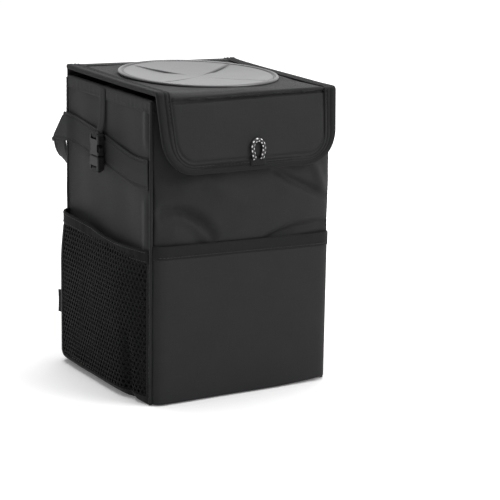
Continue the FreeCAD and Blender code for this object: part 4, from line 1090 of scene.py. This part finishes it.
def rolled(x, s, n):
    """A spot on the lid and flap: flat over the lid, a quarter roll at the front, then straight down, leaned.
    n is the distance off the outer face. The lid sags, and the flap narrows downwards. Also gives the way
    out of the face."""
    x, s, n = (np.asarray(k, float) for k in np.broadcast_arrays(x, s, n))
    turn = np.clip((s - ROLL_START) / ROLL, 0, math.pi / 2 - LEAN)
    over = together(0 * x, -np.sin(turn), np.cos(turn))
    hang = np.maximum(s - ROLL_END, 0)
    y = np.where(s < ROLL_START, LID_BACK - s, ROLL_Y - ROLL * np.sin(turn) - hang * math.sin(LEAN))
    z = np.where(s < ROLL_START, LID_TOP, ROLL_Z + ROLL * np.cos(turn) - hang * math.cos(LEAN))
    z = z - droop(x, s) * ramp(hang, FOOT - ROLL_END, 0)
    slim = ramp(hang, 0, 42)
    x = x * (1 - 0.037 * slim) + 0.4 * slim
    return together(x, y, z) + over * n[..., None], over


def flap_end(x):
    """Length at which the flap ends at each x: its foot, or the rounded corner."""
    past = np.clip(np.abs(x) - CORNER_X, 0, CORNER)
    return FOOT - (CORNER - np.sqrt(CORNER ** 2 - past ** 2))


def edge_gap(x, s):
    """Distance from the edge of the unrolled sheet: to a side, to the foot, or to a rounded corner."""
    beyond = np.hypot(np.maximum(np.abs(x) - CORNER_X, 0), np.maximum(s - FOOT + CORNER, 0))
    corner = (np.abs(x) > CORNER_X) & (s > FOOT - CORNER)
    return np.where(corner, CORNER - beyond, np.minimum(LID_HALF - np.abs(x), FOOT - s))


def tape_width(s):
    """Width of the binding on the face: it narrows towards the flap's foot."""
    return 10.8 - 2.8 * ramp(s, FOOT - 24, FOOT - 2)


print("unrolled lid", round(FOOT, 1), "mm long")

# %% Lid and flap cloth
def lid_slack(x, s):
    """Unevenness of the lid cloth: flat on the board, a shallow crease under the front edge, a padded flap,
    and a gutter beside the binding."""
    down = ramp(s, ROLL_END, ROLL_END + 20)
    left = ramp(x, LID_HALF, -LID_HALF)
    line = ROLL_END + 0.9 + 4.0 * left
    crease = -2.5 * hump(s, line, 1.2 + 0.8 * left)
    lip = 1.3 * hump(s, line - 2.8, 1.8) - 1.5 * left * hump(s, ROLL_START + 1.5, 3.2)
    crease = (crease + lip) * bell(x / 79) ** 0.3
    pad = 1.3 * bell(x / 76) ** 0.7 * np.sin(np.pi * ramp(s, ROLL_END, ROLL_END + 62)) ** 0.8
    gutter = -0.9 * hump(edge_gap(x, s), tape_width(s) + 0.7, 0.9)
    soft = 0.25 * ripple(x, s, 14, 38.0) * (1 - down) + 0.45 * down * ripple(x, s, 15, 50.0)
    return soft + crease + pad + gutter


def ring_lid(half, front, back, rings):
    """A rectangle with a round hole as a grid: straight lines from the hole's edge out to the rectangle."""
    x = np.linspace(-half, half, 161)
    y = np.linspace(front, back, 79)[1:-1]
    rim = np.concatenate([together(x, front), together(half, y), together(x[::-1], back),
                          together(-half, y[::-1])])
    middle = np.array([0.0, COVER_Y])
    start = middle + HOLE * unit(rim - middle)
    share = np.linspace(0, 1, rings)[:, None, None]
    return start * (1 - share) + rim * share


def merge(parts):
    """Joins grids into one mesh: places, faces and flat spots, with equal places made one."""
    places = np.concatenate([p.reshape(-1, 3) for p, _, _ in parts])
    spots = np.concatenate([f.reshape(-1, 2) for _, _, f in parts])
    base = np.cumsum([0] + [p.reshape(-1, 3).shape[0] for p, _, _ in parts[:-1]])
    faces = np.concatenate([f + b for b, (_, f, _) in zip(base, parts)])
    _, first, back = np.unique(np.round(places, 3), axis=0, return_index=True, return_inverse=True)
    return places[first], back.reshape(-1)[faces], spots[faces]


def grid_faces(rows, columns, closed=False):
    """Faces of a grid in rows and columns."""
    spots = np.arange(rows * columns).reshape(rows, columns)
    return quads(wrapped(spots) if closed else spots)


LID_RINGS, CLOTH_HALF, SUNK = 27, 79.9, 0.05
lid_xy = ring_lid(CLOTH_HALF, ROLL_Y, 74.0, LID_RINGS)
x, s = lid_xy[..., 0], LID_BACK - lid_xy[..., 1]
n = lid_slack(x, s) * np.clip(np.linspace(0, 3, LID_RINGS)[:, None], 0, 1) - SUNK
lid_part = (rolled(x, s, n)[0], grid_faces(*x.shape, True), together(x, -s))
x = np.linspace(-CLOTH_HALF, CLOTH_HALF, 161)
s = ROLL_START + np.linspace(0, 1, 130)[:, None] * (flap_end(x) - 0.8 - ROLL_START)
x = np.broadcast_to(x, s.shape)
flap_part = (rolled(x, s, lid_slack(x, s) - SUNK)[0], grid_faces(*s.shape)[:, ::-1], together(x, -s))
places, faces, spots = merge([lid_part, flap_part])
normal = np.cross(places[faces[:, 2]] - places[faces[:, 0]], places[faces[:, 3]] - places[faces[:, 1]])
wrong = (normal * (0.0, -1.0, 1.0)).sum(-1) < 0
faces[wrong], spots[wrong] = faces[wrong][:, ::-1], spots[wrong][:, ::-1]
lid_cloth = thicken(new_piece("lid_and_flap_cloth", places, faces, spots.reshape(-1, 2), CLOTH), 0.6)
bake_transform(lid_cloth)
settle(lid_cloth, None, "oxford_cloth", "lid_cloth", "flap_cloth")

# %% [markdown]
# The binding is one tape folded over the edge: along the left of the lid, over the fold, round the flap and
# back along the right. Its section is a flat hook that holds both faces, and it travels along the outline of
# the unrolled sheet. A row of stitches runs near its inner edge.

# %% Edge outline and binding
def outline():
    """Outline of the unrolled sheet from the back left round the flap to the back right, and the way out."""
    turn = np.radians(np.linspace(180, 270, 23))
    left = together(-CORNER_X + CORNER * np.cos(turn), FOOT - CORNER - CORNER * np.sin(turn))
    start = np.array([[-LID_HALF, 0.0]])
    line = even(np.vstack([start, left, left[::-1] * (-1, 1), start * (-1, 1)]), 1.3)
    ahead = unit(np.gradient(line, axis=0))
    return line, together(-ahead[:, 1], ahead[:, 0])


edge_line, edge_out = outline()
edge_run = lengths(edge_line)
depth = 2.6 + 0.4 * ramp(edge_line[:, 1], ROLL_START - 6, ROLL_END)
width = tape_width(edge_line[:, 1])


def on_edge(inward, n):
    """Places along the outline, some way in from the edge and off the outer face."""
    spot = edge_line - edge_out * np.asarray(inward)[:, None]
    return rolled(spot[:, 0], spot[:, 1], n)


def binding_rows(d, w, ply=0.75):
    """Rows of the tape's section: top ply with two grooves, round the edge, lower ply and back inside."""
    high = ply + 0.1 * np.sin(edge_run * 0.8) * np.sin(edge_run * 0.11)
    o = 0 * d
    outer = [(w + 0.1, o - 0.2), (w - 0.2, o + 0.6), (w - 0.7, high), (w - 1.3, high), (w - 1.8, o + 0.05),
             (w - 2.4, o + 0.05), (w - 2.9, high), (w * 0.5 + 0.9, high + 0.1), (w * 0.5 + 0.4, o + 0.25),
             (w * 0.5 - 0.4, o + 0.25), (w * 0.5 - 0.9, high + 0.1), (w * 0.2, high), (o + 0.7, ply + o)]
    edge = [(o - 0.25, o + 0.35), (o - 0.7, -d * 0.3), (o - 0.7, -d * 0.7), (o - 0.25, -d - 0.35)]
    inner = [(o + 0.7, -d - ply), (w * 0.5, -d - ply), (w - 0.6, -d - ply), (w, -d - 0.1), (w * 0.5, -d + o),
             (o + 0.5, -d + 0.1), (o + 0.4, o - 0.4), (w * 0.5, o - 0.4)]
    return np.stack([on_edge(i, n)[0] for i, n in outer + edge + inner], 1)


rows = binding_rows(depth, width)
girth = np.linalg.norm(np.diff(wrapped(rows), axis=1), axis=-1).mean(0)
flat = together(edge_run[:, None], np.concatenate([[0.0], np.cumsum(girth)])[None])
binding = skin("lid_and_flap_binding", rows, flat, TAPE, None, True, True)
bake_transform(binding)
settle(binding, None, "binding_tape", "lid_binding_left", "lid_binding_right", "flap_binding")
seam, over = on_edge(width - 2.1, 0.2 + 0 * width)
row = stitch_row("binding_stitches", seam[2:-2], over[2:-2], None)
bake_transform(row)

# %% Flap lining, lid lining and lid board
x = np.linspace(-79.2, 79.2, 81)
s = (ROLL_START - 1.0) + np.linspace(0, 1, 50)[:, None] * (flap_end(x) - 1.2 - ROLL_START + 1.0)
x = np.broadcast_to(x, s.shape)
places = rolled(x, s, -3.0 + 0.25 * ripple(x, s, 51, 40.0) * bell(x / 79))[0]
lining = thicken(skin("flap_inner_cloth", places, together(x, s), CLOTH, (0, 1, 0)), 0.5)
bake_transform(lining)
settle(lining, None, "oxford_cloth", "flap_lining")


def lid_layer(name, xy, level, material, out, thick):
    """A layer of the lid with its round hole, at some level before the lid sags."""
    z = level - droop(xy[..., 0], LID_BACK - xy[..., 1])
    places = np.concatenate([xy, z[..., None]], -1)
    return thicken(skin(name, places, wrapped(xy), material, out, closed=True), thick)


xy = ring_lid(79.0, -79.0, 75.0, 10)
level = 247.35 - 0.05 * (1 + ripple(xy[..., 0], xy[..., 1], 61, 30.0))
under = lid_layer("lid_under_film", xy, level, FILM, (0, 0, -1), 0.5)
settle(under, "lid", "liner", "lid_lining")
board = lid_layer("lid_stiff_board", ring_lid(78.8, -78.6, 74.4, 12), 249.0, BOARD, (0, 0, 1), 1.0)
settle(board, "lid", "stiffener", "lid_board")

# %% [markdown]
# A strip of cloth is the lid's hinge: it lies on the back of the lid, rolls over the edge and is sewn down
# the back wall.

# %% Hinge strip
turn = np.radians(np.linspace(80, 0, 8))
line = np.vstack([[(66.0, 250.45), (71.0, 250.5), (74.2, 250.5)],
                  together(74.4 + 2.4 * np.cos(turn), 248.1 + 2.4 * np.sin(turn)),
                  [(76.75, 244.0), (76.6, 238.0), (76.5, 219.7)]])
line = even(line, 1.0)
run = lengths(line)
half = 69.0 + 10.7 * ramp(run, 8.6, 11.0)
x = half[:, None] * np.linspace(-1, 1, 91)
along = np.broadcast_to(run[:, None], x.shape)
wavy = 0.12 * ripple(x, along, 71, 30.0) * ramp(along, 10, 14)
sunk = droop(x, np.maximum(LID_BACK - line[:, :1], 0))
places = together(x, line[:, :1] + wavy, line[:, 1:] - sunk)
hinge = thicken(skin("hinge_cloth", places, together(x, along), CLOTH, (0, 1, 1)), 0.6)
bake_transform(hinge)
settle(hinge, None, "oxford_cloth", "hinge_strip")
x = np.linspace(-74, 74, 120)
for tag, level in (("upper", 227.5), ("lower", 222.0)):
    stitch_row("hinge_stitches_" + tag, together(x, 76.65, level), (0, 1, 0), "bin")
x = np.linspace(-66, 66, 110)
line = together(x, 67.6, 250.55 - droop(x, LID_BACK - 67.6))
stitch_row("hinge_stitches_lid", line, (0, 0, 1), "lid")

# %% [markdown]
# ## Slit cover
# A round sheet of soft rubber closes the lid. Two crossed cuts make four leaves, and the leaves sag towards
# the middle, so the cuts gape a little. The sheet is a polar grid with a double column at each cut, and a
# thin bead stands round the rim.

# %% Rubber cover
CUT, COVER_TOP, LEAF = 59.6, 252.4, 25
CUT_ANGLES = (35, 125, 215, 305)


def cover_drop(r):
    """Sag of the rubber: nothing on the lid's rim, deepest in the middle, and a groove inside the bead."""
    t = ramp(r, 0, 60)
    return -3.0 * (1 - t ** 1.5) * ramp(t, 1, 0.94) ** 0.5 - 1.6 * hump(r, 61.9, 0.8)


def cover_sag(x, y):
    """How far the cover lies below its flat place: the lid's sag, and a small tilt towards the front."""
    return droop(x, LID_BACK - y) - 0.9 * (y - COVER_Y) / 64.0


def cover_grid():
    """Polar grid: radii from near the middle to the rim, and angles with two columns at each cut, parted by
    the gap. Beside the cuts two of the leaves hang a little lower than their neighbours."""
    rim = [55, 56, 57, 58, 59, CUT, 60.4, 61, 61.6, 62.2, 62.8, 63.4, 64.4]
    r = np.concatenate([np.linspace(0.3, 54, 46), rim])
    t = np.linspace(0, 1, LEAF)
    angle = (np.radians(CUT_ANGLES)[:, None] + t * np.pi / 2).ravel()
    end = np.tile(np.where(t == 0, 1.0, np.where(t == 1, -1.0, 0.0)), 4)
    gape = 0.5 * ramp(r, CUT, CUT - 2) ** 0.5 * np.clip((r - 4) / 30, 0.04, 1)
    wide = angle + end * np.arcsin(np.clip(gape / r, 0, 0.7))[:, None]
    lower = np.concatenate([0 * t, (1 - t) ** 3, 0 * t, 0.8 * t ** 3])
    hang = 1.2 * np.sin(np.pi * ramp(r, 0, CUT)) * ramp(r, 10, 30)
    x, y = r[:, None] * np.cos(wide), COVER_Y + r[:, None] * np.sin(wide)
    return r, together(x, y, COVER_TOP + cover_drop(r)[:, None] - hang[:, None] * lower - cover_sag(x, y))


r, places = cover_grid()
rows, columns = places.shape[:2]
faces = grid_faces(rows, columns, True).reshape(rows - 1, columns, 4)
cut_column = np.arange(columns) % LEAF == LEAF - 1
faces = faces[~((r[:-1, None] < CUT - 0.01) & cut_column)]
v = places.reshape(-1, 3)
_, first, back = np.unique(np.round(v, 3), axis=0, return_index=True, return_inverse=True)
v, faces = v[first], back.reshape(-1)[faces]
faces = [list(dict.fromkeys(face)) for face in faces.tolist() if len(set(face)) > 2]
cover = new_piece("slit_cover_rubber", v, faces, v[np.concatenate(faces)][:, :2], RUBBER)
settle(thicken(cover, 2.2), "lid", "cover_rubber", "slit_cover")

# %% Bead round the cover
BEAD_RING, BEAD_RADIUS, BEAD_Z = 64.1, 1.4, 251.7
turn = np.linspace(0, 2 * np.pi, 181)[:-1, None]
around = np.linspace(0, 2 * np.pi, 13)[:-1]
reach = BEAD_RING + BEAD_RADIUS * np.cos(around)
x, y = reach * np.cos(turn), COVER_Y + reach * np.sin(turn)
v = together(x, y, BEAD_Z + BEAD_RADIUS * np.sin(around) - cover_sag(x, y)).reshape(-1, 3)
spots = wrapped(np.arange(len(v)).reshape(x.shape))
faces = quads(np.vstack([spots, spots[:1]]))
bead = new_piece("cover_bead", v, faces, v[faces.ravel()][:, :2], RUBBER)
settle(bead, "lid", "cover_rubber")

# %% [markdown]
# ## Small pieces
# The fastener's two halves, the tack over the cord's ends, the blank tab in the back seam and the liner are
# quiet pieces, but each is made as it is: with soft edges and its own weave.

# %% Fastener and tack
def pillow(half_u, half_v, thick, power=8.0, count=41):
    """A thin pad: a rectangle whose height drops to nothing at the rim. Gives u, v and height."""
    t = np.linspace(-1, 1, count)
    u, v = np.meshgrid(t, t)
    edge = np.clip(1 - np.maximum(np.abs(u), np.abs(v)) ** power, 0, 1)
    return u * half_u, v * half_v, thick * edge ** 0.4


u, v, h = pillow(35.0, 9.0, 1.1)
hook = skin("hook_patch_tape", hung(u, 1.55 + h, -45.2 + v), together(u, v), FASTENER, (0, 1, 0))
settle(thicken(hook, 0.2), "flap", "fastener", "hook_patch")
level = 202.6 + v
places = together(u, -HALF_D - front_out(u, level) + 0.1 - h, level)
loop = skin("loop_patch_tape", places, together(u, v), FASTENER, (0, -1, 0))
settle(thicken(loop, 0.2), "bin", "fastener", "loop_patch")
u, v, h = pillow(7.0, 2.6, 1.0, 5.0)
tack = skin("loop_tack_tape", hung(LOOP_X + u, -2.2 - h, -57.0 + v), together(u, v), TAPE, (0, -1, 0))
settle(thicken(tack, 0.3), "flap", "binding_tape", "loop_tack")

# %% Blank tab
TAB_LONG, TAB_HALF, TAB_LEAN = 12.9, 0.45, -0.22
turn = np.radians(np.linspace(-90, 90, 9))
tip = together(TAB_HALF * np.sin(turn), TAB_LONG + 0.6 * np.cos(turn))
folded = even(np.vstack([[(-TAB_HALF, 0.0)], tip, [(TAB_HALF, 0.0)]]), 0.5)
z = np.linspace(37.4, 56.6, 21)
lean = 0.025 * np.sin(np.pi * (z - 37) / 20) + TAB_LEAN
places = together(-HALF_W + folded[:, :1] + folded[:, 1:] * lean, 76.3 + folded[:, 1:], z)
tab = skin("side_tab_tape", places, together(lengths(folded)[:, None], z), TAPE, None)
settle(thicken(tab, 0.5), "bin", "binding_tape", "side_tab")

# %% Liner
LINER_FLOOR = 4.9
ring, out = round_mouth(76.9, 71.9, 5.0, 2.0)
drop = np.linspace(0, 1, 60)[:, None]
shrink = np.linspace(1, 0.02, 24)[1:, None]
top = wall_top(ring[:, 1]) + 3.0
walls = together(ring[:, 0], ring[:, 1], top + drop * (5.6 - top))
crinkle = 0.5 * ripple(walls[..., 0] + walls[..., 1] * 1.7, walls[..., 2], 81, 26.0) - 0.45
walls[..., :2] += out * (np.minimum(crinkle, 0.0) * np.clip(np.sin(np.pi * drop), 0, 1))[..., None]
bottom = together(ring[:, 0] * shrink, ring[:, 1] * shrink, LINER_FLOOR)
bottom[..., 2] += 0.25 * (1 + ripple(bottom[..., 0], bottom[..., 1], 82, 24.0)) * (1 - shrink ** 6)
places = np.concatenate([walls, bottom])
run = lengths(np.vstack([ring, ring[:1]]))
flat = together(run, np.linspace(0, 300, len(places))[:, None])
liner = skin("liner_tub", places, flat, FILM, None, closed=True)
liner.data.flip_normals()
settle(thicken(liner, 0.4), "bin", "liner", "liner")
